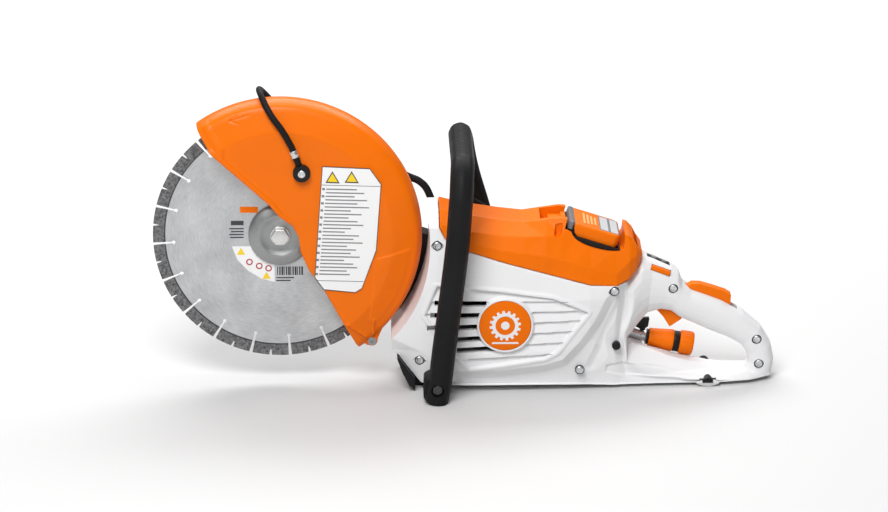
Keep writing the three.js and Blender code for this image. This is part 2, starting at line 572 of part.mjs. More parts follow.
const nozzleHole = rod(25.8, 84, -60, 60, 3.4, 14);
piece('guard_left', cut(guardShell(-1), nozzleHole), ORANGE);
piece('guard_right', cut(guardShell(1), nozzleHole), ORANGE);
piece('guard_screw', cut(join(rod(LUG.x, LUG.z, -17.5, -14.2, 5, 14), rod(LUG.x, LUG.z, -15, 13, 2.5, 8)),
  rod(LUG.x, LUG.z, -18, -15.5, 2.4, 6)), DARK_STEEL);
const labelOutline = [[50, 91], [106, 88], [119, 69], [113, -12], [96, -59], [88, -64], [51, -60],
  [40.5, -45]];
piece('guard_label', prism(labelOutline, -28.6, -28.25), WHITE);

// ---------------------------------------------------------------- water system

for (const [name, side] of [['nozzle_left', -1], ['nozzle_right', 1]]) {
  const profile = [[0, 22], [2.8, 22], [2.8, 28.3], [10.3, 28.3], [10.3, 35.5], [4.2, 35.5],
    [4.2, 37], [0, 37]].map(([r, y]) => [r, y * side]);
  piece(name, turned(25.8, 84, profile, 18), BLACK);
}
const NOZZLE_HOSE = [
  [22.5, -33.6, 95.2], [19.5, -33.6, 103], [14, -33.6, 117], [3, -33, 137], [-8, -30, 152],
  [-15, -24, 163], [-20, -15, 172], [-23, -2, 176.4], [-22.5, 10, 174.6], [-17, 22, 166],
  [-9, 30.5, 154], [0, 32.4, 140], [10, 32.4, 124], [19.5, 32.4, 105], [22.5, 32.4, 95.2],
];
piece('nozzle_hose', bar(NOZZLE_HOSE, HOSE_RADIUS, 8, 34), BLACK);
const ferrulePath = [[18.9, -33.6, 104.4], [15.9, -33.6, 112.2]];
piece('hose_clip', cut(bar(ferrulePath, 5.1, 16, 1), bar(NOZZLE_HOSE, HOSE_RADIUS + 0.3, 10, 34)), STEEL);

piece('supply_hose', bar(SUPPLY_HOSE, 4.4, 8, 24), BLACK);

const coupling = new THREE.Group();
coupling.position.set(COUPLING.x, COUPLING.y, COUPLING.z);
coupling.rotation.y = THREE.MathUtils.degToRad(COUPLING.tilt);
saw.add(coupling);

/** A turned piece about the coupling's own X axis; its profile is a list of [x, radius]. */
function turnedAlongX(profile, sides = 20) {
  const points = profile.map(([x, r]) => new THREE.Vector2(r, x));
  return solid(new THREE.LatheGeometry(points, sides).rotateZ(-Math.PI / 2));
}
const coreProfile = [[0, 0], [0, 9], [2.5, 9], [2.5, 7], [33.4, 7], [33.4, 12.2], [39.8, 12.2],
  [39.8, 7], [56, 7], [56, 5], [18, 5], [18, 0]];
piece('coupling_core', turnedAlongX(coreProfile), BLACK, coupling);
const sleeveProfile = [[3, 9.4], [3, 10.2], [6, 10.6], [30, 13.2], [32.8, 12.6], [32.8, 7.4],
  [12, 7.4], [12, 9.4], [3, 9.4]];
piece('coupling_sleeve', turnedAlongX(sleeveProfile), ORANGE, coupling);
const nutProfile = [[40.3, 7.4], [40.3, 13.2], [42, 14.4], [54.5, 14.4], [57, 12.8], [57, 7.4],
  [40.3, 7.4]];
piece('coupling_nut', turnedAlongX(nutProfile), ORANGE, coupling);

const inletPath = [[402, 122], [417.5, 130.2], [425, 133.3], [433.4, 134.8]];
piece('water_inlet', bar(inletPath.map(([x, depth]) => [x, WATER_Y, -depth]), 6.4, 12, 8), GREY);
const leverOutline = [[421, -121.5], [425, -116.5], [431, -111.4], [437.5, -111], [438, -113],
  [436.5, -122], [433, -124.5], [426, -124.5]];
piece('valve_lever', join(prism(leverOutline, WATER_Y - 2.5, WATER_Y + 2.5), hull([
  ...[0, 1, 2, 3, 4, 5, 6, 7].flatMap((i) => {
    const angle = (Math.PI * i) / 4;
    const [x, y] = [430 + 3.4 * Math.cos(angle), WATER_Y + 3.4 * Math.sin(angle)];
    return [[x, y, -126.8], [x, y, -122.5]];
  })])), BLACK);

// ---------------------------------------------------------------- battery

const battery = new THREE.Group();
battery.position.set(BATTERY.x, 0, BATTERY.z);
battery.rotation.y = THREE.MathUtils.degToRad(BATTERY.tilt);
saw.add(battery);

const half = [BATTERY.length / 2, BATTERY.width / 2];
/** A rounded rectangle in plan, extruded upwards from z0 to z1. */
function block(halfX, halfY, radius, z0, z1) {
  const plan = new THREE.Shape();
  const corners = [[1, 1, 0], [-1, 1, 90], [-1, -1, 180], [1, -1, 270]];
  for (const [sx, sy, start] of corners) {
    const from = THREE.MathUtils.degToRad(start);
    plan.absarc(sx * (halfX - radius), sy * (halfY - radius), radius, from, from + Math.PI / 2);
  }
  const options = { depth: z1 - z0, bevelEnabled: false, curveSegments: 5 };
  return solid(new THREE.ExtrudeGeometry(plan, options).translate(0, 0, z0));
}
piece('battery_case', block(half[0], half[1], 9, -BATTERY.depth, -BATTERY.capDepth - GAP),
  BLACK, battery);
piece('battery_cap', join(block(half[0], half[1], 9, -BATTERY.capDepth + GAP, -2),
  block(half[0] - 2, half[1] - 2, 7, -3, 0)), ORANGE, battery);

// ---------------------------------------------------------------- controls

const trigger = prism([[442, -84], [450, -83.6], [466, -92], [473, -100], [475.5, -107],
  [461, -117], [453, -104], [443, -93]], -TRIGGER.halfWidth, TRIGGER.halfWidth);
piece('trigger', cut(trigger, rod(TRIGGER.pivotX, TRIGGER.pivotZ, -9, 9, 1.8, 12)), ORANGE);
const lockout = prism([[481, -67], [487, -63.4], [497, -63.8], [511, -68], [527, -73.6],
  [533.5, -78], [532.5, -94], [524, -92], [505, -84], [488, -81], [483, -75]],
  -LOCKOUT.halfWidth, LOCKOUT.halfWidth);
piece('lockout_lever', cut(lockout, rod(LOCKOUT.pivotX, LOCKOUT.pivotZ, -9, 9, 1.8, 12)), ORANGE);
piece('trigger_pin', rod(TRIGGER.pivotX, TRIGGER.pivotZ, -12, 12, 1.5, 12), STEEL);
piece('lockout_pin', rod(LOCKOUT.pivotX, LOCKOUT.pivotZ, -12, 12, 1.5, 12), STEEL);
piece('trigger_switch', box([445, -7, -82], [459, 7, -61]), BLACK);
piece('retaining_latch', turnedBox(LATCH.x, LATCH.z, LATCH.tilt, LATCH.length, -21, -12.5,
  LATCH.height), ORANGE);
piece('battery_release', join(box([316, -18, 14], [336, 18, 17.5]), box([331, -18, 14], [336.5, 18, 20])),
  ORANGE);

// The origin goes on the floor, under the middle of the machine's box.
const extent = new THREE.Box3().setFromObject(saw, true);
const middle = extent.getCenter(new THREE.Vector3());
saw.position.set(-middle.x, -middle.y, -extent.min.z);

export default saw;
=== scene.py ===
"""The looks of a battery powered rescue saw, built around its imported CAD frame.

Shapes are given in millimetres about the disc's axis: X to the rear handle, Y to the operator's
right, Z up. at() turns them into metres in the row frame. The casing, the hood and the guard are
lofted or turned and then remeshed finely, which rounds their edges; reliefs are pushed into the
casing and the guard. Most other visible parts are turned, swept or extruded. The skid, the arm
casting, the trigger, the lockout and valve levers and the buttons start from their CAD nodes.
"""

import json
from math import atan2, cos, hypot, pi, radians, sin

import bmesh
import bpy
import numpy as np
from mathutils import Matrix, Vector

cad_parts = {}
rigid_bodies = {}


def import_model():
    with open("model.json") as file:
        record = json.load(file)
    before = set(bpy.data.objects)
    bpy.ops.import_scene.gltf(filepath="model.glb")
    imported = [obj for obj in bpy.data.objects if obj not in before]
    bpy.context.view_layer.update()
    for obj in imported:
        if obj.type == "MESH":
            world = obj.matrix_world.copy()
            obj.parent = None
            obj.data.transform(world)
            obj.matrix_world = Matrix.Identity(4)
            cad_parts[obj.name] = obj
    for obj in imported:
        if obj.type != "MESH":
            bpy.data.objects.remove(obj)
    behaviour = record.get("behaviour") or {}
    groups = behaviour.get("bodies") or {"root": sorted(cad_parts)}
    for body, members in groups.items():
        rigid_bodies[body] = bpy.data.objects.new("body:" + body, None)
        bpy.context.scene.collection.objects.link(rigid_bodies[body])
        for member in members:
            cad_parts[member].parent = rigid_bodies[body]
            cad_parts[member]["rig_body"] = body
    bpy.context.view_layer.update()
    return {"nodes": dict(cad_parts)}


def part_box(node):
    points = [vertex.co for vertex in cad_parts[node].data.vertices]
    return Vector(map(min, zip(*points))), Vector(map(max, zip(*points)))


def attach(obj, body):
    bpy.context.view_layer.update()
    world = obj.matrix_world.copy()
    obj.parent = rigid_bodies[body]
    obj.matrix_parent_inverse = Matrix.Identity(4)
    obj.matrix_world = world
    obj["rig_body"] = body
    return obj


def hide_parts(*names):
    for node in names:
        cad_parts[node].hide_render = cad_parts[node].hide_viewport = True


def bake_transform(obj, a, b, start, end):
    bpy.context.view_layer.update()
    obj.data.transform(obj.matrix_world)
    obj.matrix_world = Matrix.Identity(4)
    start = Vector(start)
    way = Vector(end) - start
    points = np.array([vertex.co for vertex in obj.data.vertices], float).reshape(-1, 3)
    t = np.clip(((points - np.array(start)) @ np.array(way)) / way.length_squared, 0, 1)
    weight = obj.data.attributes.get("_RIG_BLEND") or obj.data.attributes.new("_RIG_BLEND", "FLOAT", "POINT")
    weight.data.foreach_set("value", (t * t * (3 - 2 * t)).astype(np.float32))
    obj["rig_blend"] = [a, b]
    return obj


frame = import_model()

MM = 0.001
disc_low, disc_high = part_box("cutting_disc")
AXIS = (disc_low + disc_high) / 2


def at(x, y, z):
    """A point in millimetres about the disc's axis, as metres in the row frame."""
    return AXIS + Vector((x, y, z)) * MM


# ---------------------------------------------------------------- camera, floor and light

CAMERA_LENS = 243.24
CAMERA_PLACE = (31.06, -6763.56, 2103.48)
CAMERA_ANGLES = (72.507, 0, -1.375)
FLOOR_HALF = 9


def add_camera():
    data = bpy.data.cameras.new("camera")
    data.lens = CAMERA_LENS
    data.sensor_width = 36
    data.clip_end = 60
    camera = bpy.data.objects.new("camera", data)
    camera.location = at(*CAMERA_PLACE)
    camera.rotation_euler = [radians(angle) for angle in CAMERA_ANGLES]
    bpy.context.scene.collection.objects.link(camera)
    bpy.context.scene.camera = camera


def add_floor():
    """A large pale floor, with a fine grain."""
    mesh = bpy.data.meshes.new("floor")
    corners = [(-1, -1), (1, -1), (1, 1), (-1, 1)]
    mesh.from_pydata([(x * FLOOR_HALF, y * FLOOR_HALF, 0) for x, y in corners], [],
                     [(0, 1, 2, 3)])
    floor = bpy.data.objects.new("floor", mesh)
    bpy.context.scene.collection.objects.link(floor)
    material, tree, shader = new_material("floor_paper")
    grain = noise(tree, object_coordinates(tree), 900, 3)
    feed(tree, shader, {"Roughness": 0.62, "Specular IOR Level": 0.35,
                        "Base Color": tint(tree, grain, (0.60, 0.60, 0.60), (0.63, 0.63, 0.63))})
    mesh.materials.append(material)


def add_area_light(name, place, target, size, tall, power):
    data = bpy.data.lights.new(name, "AREA")
    data.shape = "RECTANGLE"
    data.size = size
    data.size_y = tall
    data.energy = power
    light = bpy.data.objects.new(name, data)
    light.location = place
    light.rotation_euler = (Vector(target) - Vector(place)).to_track_quat("-Z", "Y").to_euler()
    bpy.context.scene.collection.objects.link(light)


def add_light():
    world = bpy.data.worlds.new("studio")
    world.use_nodes = True
    background = world.node_tree.nodes["Background"]
    background.inputs["Color"].default_value = (1, 1, 1, 1)
    background.inputs["Strength"].default_value = 0.16
    bpy.context.scene.world = world
    bpy.context.scene.view_settings.view_transform = "Standard"
    centre = (0.02, 0, 0.14)
    add_area_light("key_softbox", (-0.6, -1.85, 2.45), centre, 1.3, 1.3, 80)
    add_area_light("top_softbox", (0.05, 0.25, 2.2), centre, 1.3, 0.9, 10)
    add_area_light("floor_softbox", (0.0, -4.2, 2.2), (0, -4.0, 0), 3.4, 1.4, 38)
    add_area_light("back_softbox", (0.0, 1.9, 2.1), (0, 1.6, 0), 3.4, 1.4, 95)


# ---------------------------------------------------------------- materials

def new_material(name):
    material = bpy.data.materials.new(name)
    material.use_nodes = True
    return material, material.node_tree, material.node_tree.nodes["Principled BSDF"]


def feed(tree, node, inputs):
    """Sets a node's inputs; each one is a value, or the socket that feeds it."""
    for key, value in inputs.items():
        if isinstance(value, bpy.types.NodeSocket):
            tree.links.new(value, node.inputs[key])
        else:
            node.inputs[key].default_value = value


def add_node(tree, kind, inputs, **settings):
    node = tree.nodes.new(f"ShaderNode{kind}")
    for key, value in settings.items():
        setattr(node, key, value)
    feed(tree, node, inputs)
    return node


def calculate(tree, operation, first, second):
    return add_node(tree, "Math", {0: first, 1: second}, operation=operation).outputs["Value"]


def object_coordinates(tree):
    return add_node(tree, "TexCoord", {}).outputs["Object"]


def noise(tree, vector, scale, detail=2.0):
    inputs = {"Scale": scale, "Detail": detail, "Vector": vector}
    return add_node(tree, "TexNoise", inputs).outputs["Fac"]


def spread(tree, value, low, high):
    """Maps the middle of a noise to the range low to high."""
    inputs = {"From Min": 0.3, "From Max": 0.7, "To Min": low, "To Max": high, "Value": value}
    return add_node(tree, "MapRange", inputs).outputs["Result"]


def tint(tree, value, first, second):
    inputs = {"Factor": spread(tree, value, 0, 1), "A": (*first, 1), "B": (*second, 1)}
    return add_node(tree, "Mix", inputs, data_type="RGBA").outputs["Result"]


def bump(tree, height, depth, strength, under=None):
    inputs = {"Distance": depth, "Strength": strength, "Height": height}
    if under is not None:
        inputs["Normal"] = under
    return add_node(tree, "Bump", inputs).outputs["Normal"]


def moulded(name, colour, roughness, grain=1400, depth=0.00004, variation=0.05, coat=0.0,
            gloss=0.35):
    """Moulded plastic: fine spark-eroded grain, slow flow variation and faint handling marks."""
    material, tree, shader = new_material(name)
    place = object_coordinates(tree)
    dark = tuple(c * (1 - variation) for c in colour)
    marks = noise(tree, place, 160, 6)
    sink = bump(tree, noise(tree, place, 90, 2), 0.00008, 0.25)
    feed(tree, shader, {
        "Base Color": tint(tree, noise(tree, place, 14, 3), dark, colour),
        "Roughness": spread(tree, marks, roughness - 0.05, roughness + 0.07),
        "Specular IOR Level": gloss,
        "Coat Weight": coat,
        "Coat Roughness": 0.25,
        "Normal": bump(tree, noise(tree, place, grain, 3), depth, 0.55, sink)})
    return material


def metal(name, colour, roughness, scale=(1, 1, 1), variation=0.2):
    """Machined or cast metal; scale stretches the tool marks along an axis."""
    material, tree, shader = new_material(name)
    inputs = {"Scale": scale, "Vector": object_coordinates(tree)}
    marks = noise(tree, add_node(tree, "Mapping", inputs).outputs["Vector"], 500, 5)
    dark = tuple(c * (1 - variation) for c in colour)
    feed(tree, shader, {
        "Metallic": 1,
        "Base Color": tint(tree, marks, dark, colour),
        "Roughness": spread(tree, marks, roughness - 0.08, roughness + 0.1),
        "Normal": bump(tree, marks, 0.00003, 0.35)})
    return material


def brushed_disc():
    """Ground steel: fine rings round the disc's axis, with cloudy patches of tone."""
    material, tree, shader = new_material("ground_disc_steel")
    inputs = {0: object_coordinates(tree), 1: AXIS}
    centre = add_node(tree, "VectorMath", inputs, operation="SUBTRACT").outputs["Vector"]
    parts = add_node(tree, "SeparateXYZ", {"Vector": centre}).outputs
    reach = add_node(tree, "VectorMath", {0: centre}, operation="LENGTH").outputs["Value"]
    turn = calculate(tree, "MULTIPLY", calculate(tree, "ARCTAN2", parts["Z"], parts["X"]), 0.012)
    polar = add_node(tree, "CombineXYZ", {"X": reach, "Y": turn}).outputs["Vector"]
    rings = noise(tree, polar, 900, 8)
    clouds = noise(tree, centre, 26, 5)
    tone = calculate(tree, "MULTIPLY", calculate(tree, "ADD", rings, clouds), 0.5)
    feed(tree, shader, {
        "Metallic": 0.75,
        "Base Color": tint(tree, tone, (0.40, 0.41, 0.42), (0.72, 0.73, 0.74)),
        "Roughness": spread(tree, rings, 0.30, 0.5),
        "Normal": bump(tree, rings, 0.00004, 0.5)})
    return material


def gritty_segment():
    """Sintered metal bond: a dark matrix with pale diamond grit standing out of it."""
    material, tree, shader = new_material("sintered_segment")
    place = object_coordinates(tree)
    cells = add_node(tree, "TexVoronoi", {"Scale": 620, "Vector": place}).outputs["Distance"]
    base = noise(tree, place, 420, 6)
    grit = calculate(tree, "MULTIPLY", cells, base)
    feed(tree, shader, {
        "Metallic": 0.35,
        "Base Color": tint(tree, base, (0.055, 0.055, 0.058), (0.25, 0.25, 0.255)),
        "Roughness": 0.75,
        "Normal": bump(tree, grit, 0.0004, 0.9)})
    return material


WHITE = moulded("white_polymer", (0.78, 0.78, 0.79), 0.42, variation=0.025)
ORANGE = moulded("orange_polymer", (0.83, 0.158, 0.001), 0.42, variation=0.06, gloss=0.1)
GUARD_ORANGE = moulded("guard_paint", (0.84, 0.158, 0.001), 0.36, grain=900, depth=0.00003,
                       variation=0.06, coat=0.1, gloss=0.13)
BLACK = moulded("black_polymer", (0.011, 0.011, 0.012), 0.42, variation=0.25, gloss=0.22)
PALE_RUBBER = moulded("pale_rubber", (0.62, 0.62, 0.62), 0.5, grain=1000, variation=0.08)
RUBBER = moulded("black_rubber", (0.014, 0.014, 0.015), 0.5, grain=1000, depth=0.00007,
                variation=0.3, gloss=0.1)
GREY = moulded("grey_polymer", (0.17, 0.17, 0.18), 0.45, variation=0.12)
PALE_GREY = moulded("pale_grey_print", (0.50, 0.51, 0.52), 0.45, variation=0.08)
PALE_ORANGE = moulded("pale_orange_print", (0.93, 0.42, 0.16), 0.4, variation=0.06)
LABEL = moulded("label_film", (0.84, 0.84, 0.84), 0.35, grain=2200, depth=0.00001,
                variation=0.02)
INK = moulded("dark_ink", (0.05, 0.05, 0.055), 0.5, variation=0.3)
GREY_INK = moulded("grey_ink", (0.24, 0.24, 0.25), 0.5, variation=0.3)
YELLOW = moulded("yellow_ink", (0.88, 0.62, 0.02), 0.45, variation=0.06)
RED = moulded("red_ink", (0.42, 0.03, 0.03), 0.45, variation=0.1)
STEEL = metal("zinc_plated_steel", (0.80, 0.81, 0.82), 0.34)
DARK_STEEL = metal("blackened_steel", (0.10, 0.10, 0.105), 0.4)
FLANGE_STEEL = metal("turned_steel", (0.42, 0.43, 0.43), 0.42, scale=(1, 6, 1))
BOLT_STEEL = metal("bright_bolt", (0.86, 0.86, 0.85), 0.36)
ALLOY = metal("cast_alloy", (0.40, 0.41, 0.43), 0.45, variation=0.15)
COPPER = metal("copper_winding", (0.60, 0.26, 0.13), 0.35, scale=(1, 12, 1))
DISC_STEEL = brushed_disc()
SEGMENT = gritty_segment()


# ---------------------------------------------------------------- mesh helpers

def add_object(name, mesh):
    obj = bpy.data.objects.new(name, mesh)
    bpy.context.scene.collection.objects.link(obj)
    return obj


def build(name, points, faces):
    """An object from points in millimetres about the disc's axis."""
    mesh = bpy.data.meshes.new(name)
    mesh.from_pydata([at(*p) for p in points], [], faces)
    work = bmesh.new()
    work.from_mesh(mesh)
    bmesh.ops.recalc_face_normals(work, faces=work.faces)
    work.to_mesh(mesh)
    work.free()
    return add_object(name, mesh)


def copy_node(name, node):
    """A welded copy of a CAD node's mesh, to be refined."""
    mesh = frame["nodes"][node].data.copy()
    mesh.materials.clear()
    work = bmesh.new()
    work.from_mesh(mesh)
    bmesh.ops.remove_doubles(work, verts=work.verts, dist=2e-6)
    work.to_mesh(mesh)
    work.free()
    for attribute in [a for a in mesh.attributes if a.name.startswith("custom_normal")]:
        mesh.attributes.remove(attribute)
    return add_object(name, mesh)


def bake(obj):
    """Applies all modifiers of an object."""
    bpy.context.view_layer.update()
    shape = obj.evaluated_get(bpy.context.evaluated_depsgraph_get())
    mesh = bpy.data.meshes.new_from_object(shape)
    obj.modifiers.clear()
    obj.data = mesh
    return obj


def modify(obj, kind, **settings):
    modifier = obj.modifiers.new(kind.lower(), kind)
    for key, value in settings.items():
        setattr(modifier, key, value)
    return bake(obj)


def smooth(obj, passes):
    return modify(obj, "SMOOTH", factor=0.5, iterations=passes)


def remesh(obj, voxel, passes):
    """Rounds every edge: a fine even mesh, then smoothing."""
    return smooth(modify(obj, "REMESH", mode="VOXEL", voxel_size=voxel * MM), passes)


def bevel(obj, width, segments=3, angle=30):
    return modify(obj, "BEVEL", width=width * MM, segments=segments, limit_method="ANGLE",
                  angle_limit=radians(angle))


def boolean(obj, tool, operation="DIFFERENCE"):
    modify(obj, "BOOLEAN", operation=operation, solver="MANIFOLD", object=tool)
    bpy.data.objects.remove(tool)
    return obj


def union(first, *others):
    for other in others:
        boolean(first, other, "UNION")
    return first


def join(name, *objects):
    """One object from several; the parts stay separate shells in it."""
    work = bmesh.new()
    for obj in objects:
        work.from_mesh(obj.data)
        bpy.data.objects.remove(obj)
    mesh = bpy.data.meshes.new(name)
    work.to_mesh(mesh)
    work.free()
    return add_object(name, mesh)


def points_of(obj):
    """An object's points in millimetres about the disc's axis, and its vertex normals."""
    count = len(obj.data.vertices)
    points = np.empty(count * 3)
    normals = np.empty(count * 3)
    obj.data.vertices.foreach_get("co", points)
    obj.data.vertices.foreach_get("normal", normals)
    return (points.reshape(-1, 3) - np.array(AXIS)) / MM, normals.reshape(-1, 3)


def move_points(obj, points):
    obj.data.vertices.foreach_set("co", (points * MM + np.array(AXIS)).ravel())
    obj.data.update()


def emboss(obj, relief):
    """Pushes a relief into a piece's surface, and softens it."""
    move_points(obj, relief(*points_of(obj)))
    smooth(obj, 1)


def step(value, start, end):
    """0 before start, 1 after end, and smooth in between."""
    t = np.clip((value - start) / (end - start), 0, 1)
    return t * t * (3 - 2 * t)


def distance_to_line(points, line):
    """Distance in X and Z from an open line of points."""
    px, pz = points[:, 0], points[:, 2]
    nearest = np.full(len(points), 1e9)
    for (x0, z0), (x1, z1) in zip(line, line[1:]):
        dx, dz = x1 - x0, z1 - z0
        t = np.clip(((px - x0) * dx + (pz - z0) * dz) / (dx * dx + dz * dz), 0, 1)
        nearest = np.minimum(nearest, np.hypot(px - x0 - t * dx, pz - z0 - t * dz))
    return nearest


def depth_inside(points, outline):
    """How far each point is inside an outline in X and Z; outside it is negative."""
    px, pz = points[:, 0], points[:, 2]
    closed = outline + outline[:1]
    inside = np.zeros(len(points), bool)
    for (x0, z0), (x1, z1) in zip(closed, closed[1:]):
        if z0 != z1:
            crosses = (z0 > pz) != (z1 > pz)
            inside ^= crosses & (px < (x1 - x0) * (pz - z0) / (z1 - z0) + x0)
    nearest = distance_to_line(points, closed)
    return np.where(inside, nearest, -nearest)


def prism(name, outline, y0, y1):
    """An outline of (x, z) points, extruded from y0 to y1."""
    count = len(outline)
    points = [(x, y, z) for y in (y0, y1) for x, z in outline]
    sides = [(i, (i + 1) % count, (i + 1) % count + count, i + count) for i in range(count)]
    return build(name, points, [tuple(range(count)), tuple(range(count, 2 * count)), *sides])


def hexagon(x, z, radius):
    return [(x + radius * cos(pi * i / 3), z + radius * sin(pi * i / 3)) for i in range(6)]


def rectangle(x0, x1, z0, z1):
    return [(x0, z0), (x1, z0), (x1, z1), (x0, z1)]


def block(name, low, high):
    return prism(name, rectangle(low[0], high[0], low[2], high[2]), low[1], high[1])


def spin(name, centre, direction, profile, sides=64):
    """A turned piece; its profile is (distance along the axis, radius), closed at the axis."""
    along = Vector(direction).normalized()
    across = along.orthogonal().normalized()
    third = along.cross(across)
    centre = Vector(centre)
    points, rows = [], []
    for distance, radius in profile:
        if radius <= 0:
            rows.append([len(points)])
            points.append(centre + along * distance)
            continue
        rows.append(list(range(len(points), len(points) + sides)))
        for i in range(sides):
            turn = 2 * pi * i / sides
            points.append(centre + along * distance
                          + (across * cos(turn) + third * sin(turn)) * radius)
    closed = len(rows[0]) > 1 and len(rows[-1]) > 1
    faces = []
    for first, second in zip(rows, rows[1:] + ([rows[0]] if closed else [])):
        for i in range(sides):
            j = (i + 1) % sides
            if len(first) == 1 and len(second) == 1:
                continue
            if len(first) == 1:
                faces.append((first[0], second[i], second[j]))
            elif len(second) == 1:
                faces.append((first[i], first[j], second[0]))
            else:
                faces.append((first[i], first[j], second[j], second[i]))
    return build(name, points, faces)


def turned(name, x, z, profile, sides=64):
    """A piece turned about the line through (x, z) along Y."""
    return spin(name, (x, 0, z), (0, 1, 0), profile, sides)


def tube(name, x, z, inner, outer, y0, y1, sides=64):
    return turned(name, x, z, [(y0, inner), (y0, outer), (y1, outer), (y1, inner)], sides)


def rod(name, x, z, radius, y0, y1, sides=64):
    return tube(name, x, z, 0, radius, y0, y1, sides)


def curve_points(points, steps):
    """Evenly spaced points on a smooth curve through the given ones."""
    given = np.array(points, float)
    padded = np.vstack([2 * given[0] - given[1], given, 2 * given[-1] - given[-2]])
    dense = []
    for p0, p1, p2, p3 in zip(padded, padded[1:], padded[2:], padded[3:]):
        for t in np.arange(0, 1, 0.05):
            dense.append(0.5 * (2 * p1 + (p2 - p0) * t + (2 * p0 - 5 * p1 + 4 * p2 - p3) * t ** 2
                                + (3 * p1 - p0 - 3 * p2 + p3) * t ** 3))
    dense = np.array(dense + [given[-1]])
    reach = np.concatenate([[0], np.cumsum(np.linalg.norm(np.diff(dense, axis=0), axis=1))])
    even = np.linspace(0, reach[-1], steps + 1)
    return np.stack([np.interp(even, reach, dense[:, k]) for k in range(3)], axis=1)


def sweep(name, points, radius, sides=24, steps=120, section=None):
    """A round bar along a smooth curve; section(turn) scales its radius."""
    path = [Vector(p) for p in curve_points(points, steps)]
    across = (path[1] - path[0]).orthogonal().normalized()
    made, faces = [], []
    for i, place in enumerate(path):
        along = (path[min(i + 1, steps)] - path[max(i - 1, 0)]).normalized()
        across = (across - along * across.dot(along)).normalized()
        third = along.cross(across)
        for k in range(sides):
            turn = 2 * pi * k / sides
            size = radius * (section(turn) if section else 1)
            made.append(place + (across * cos(turn) + third * sin(turn)) * size)
    for i in range(steps):
        for k in range(sides):
            a, b = i * sides + k, i * sides + (k + 1) % sides
            faces.append((a, b, b + sides, a + sides))
    faces += [tuple(range(sides)), tuple(range(steps * sides, (steps + 1) * sides))]
    return build(name, made, faces)


def finish_surface(obj, material, crease=35):
    obj.data.materials.clear()
    obj.data.materials.append(material)
    obj.data.shade_smooth()
    obj.data.set_sharp_from_angle(angle=radians(crease))


def publish(obj, material, slot, *nodes, body=None, crease=35):
    """Gives a finished piece its material and its body, and hides the nodes it stands for. The slot is not
    used.
    """
    finish_surface(obj, material, crease)
    if nodes:
        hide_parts(*nodes)
    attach(obj, body or frame["nodes"][nodes[0]]["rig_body"])
    return obj


def arc(x, z, radius, start, end, count):
    turns = [radians(start + (end - start) * i / count) for i in range(count + 1)]
    return [(x + radius * cos(turn), z + radius * sin(turn)) for turn in turns]


# ---------------------------------------------------------------- casing

LOUVRE_FIELD = [(184, -49), (215, -51), (258, -55), (321, -64), (335, -70), (361, -82),
                (324, -130), (311, -137), (258, -145), (223, -149), (206, -131), (187, -110),
                (176, -94), (170, -85)]
PLATEAU = [(110, 90), (460, 90), (440, -40), (404, -60), (391, -72), (379, -98), (359, -126),
           (338, -149), (312, -157), (259, -163), (207, -164), (192, -190), (110, -190)]
SLAT_LINES = [(-53, -60), (-67.8, -67), (-82.4, -79.4), (-97, -91.6), (-111.8, -104.3),
              (-125.2, -117.5), (-138.6, -131.5), (-152, -146)]
BEVEL_DEPTH = 7.6
BEVEL_WIDTH = 10.5
BEVEL_TOP = -40
SLAT_RISE = 3.4
SLAT_DEPTH = 4.6
BADGE = (264, -62.8, -95.5)
BADGE_RADII = (33.2, 30.6)
WEB_LINE = ((404, -50), (359, -152))
WEB_HALF = 42.5
BASE_PANEL = [(383, -161), (384, -152), (400, -150), (470, -160), (512, -168), (508, -171.5),
              (470, -170), (400, -166)]


def slat_line(line, x):
    """The height of a slat's lower edge at x."""
    return line[0] + (line[1] - line[0]) * (x - 210) / 140


def casing_relief(points, normals):
    """A raised panel with a bevelled edge, a web behind it, and on the left its slats."""
    x, y, z = points.T
    side = np.sign(y)
    reach = np.abs(y)
    facing = step(np.abs(normals[:, 1]), 0.3, 0.7) * step(reach, 36, 42)
    slope = np.clip(1 - depth_inside(points, PLATEAU) / BEVEL_WIDTH, 0, 1)
    depth = depth_inside(points, LOUVRE_FIELD)
    field = step(depth, 0, 1.4)
    slat = np.zeros(len(points))
    for above, below in zip(SLAT_LINES, SLAT_LINES[1:]):
        top, bottom = slat_line(above, x), slat_line(below, x)
        slat = np.where((z <= top) & (z > bottom), (top - z) / (top - bottom), slat)
    seat = step(np.hypot(x - BADGE[0], z - BADGE[2]), 33, 35)
    slats = (y < 0) * field * seat * (SLAT_DEPTH - SLAT_RISE * slat)
    ridge = (y < 0) * 1.2 * step(-depth, -0.5, 1.5) * step(depth, -6, -3.5)
    sunk = (BEVEL_DEPTH * slope + slats - ridge) * (z < BEVEL_TOP)
    (x0, z0), (x1, z1) = WEB_LINE
    length = hypot(x1 - x0, z1 - z0)
    behind = ((x - x0) * (z1 - z0) - (z - z0) * (x1 - x0)) / -length
    web = np.clip(behind / 8, 0, 1) * step(z, -160, -151) * step(-z, 50, 56) * (x < 425)
    inner = np.minimum(reach, WEB_HALF)
    reach = reach - facing * sunk
    reach = reach + (np.minimum(reach, inner) - reach) * web
    panel = step(depth_inside(points, BASE_PANEL), 0, 1.5) * step(reach, 26, 30)
    points[:, 1] = side * (reach - 1.5 * panel)
    return points


def ring(x, half):
    """A ring across the machine at x, from the (y, z) points of its right half."""
    return [(x, y, z) for y, z in half] + [(x, -y, z) for y, z in reversed(half)]


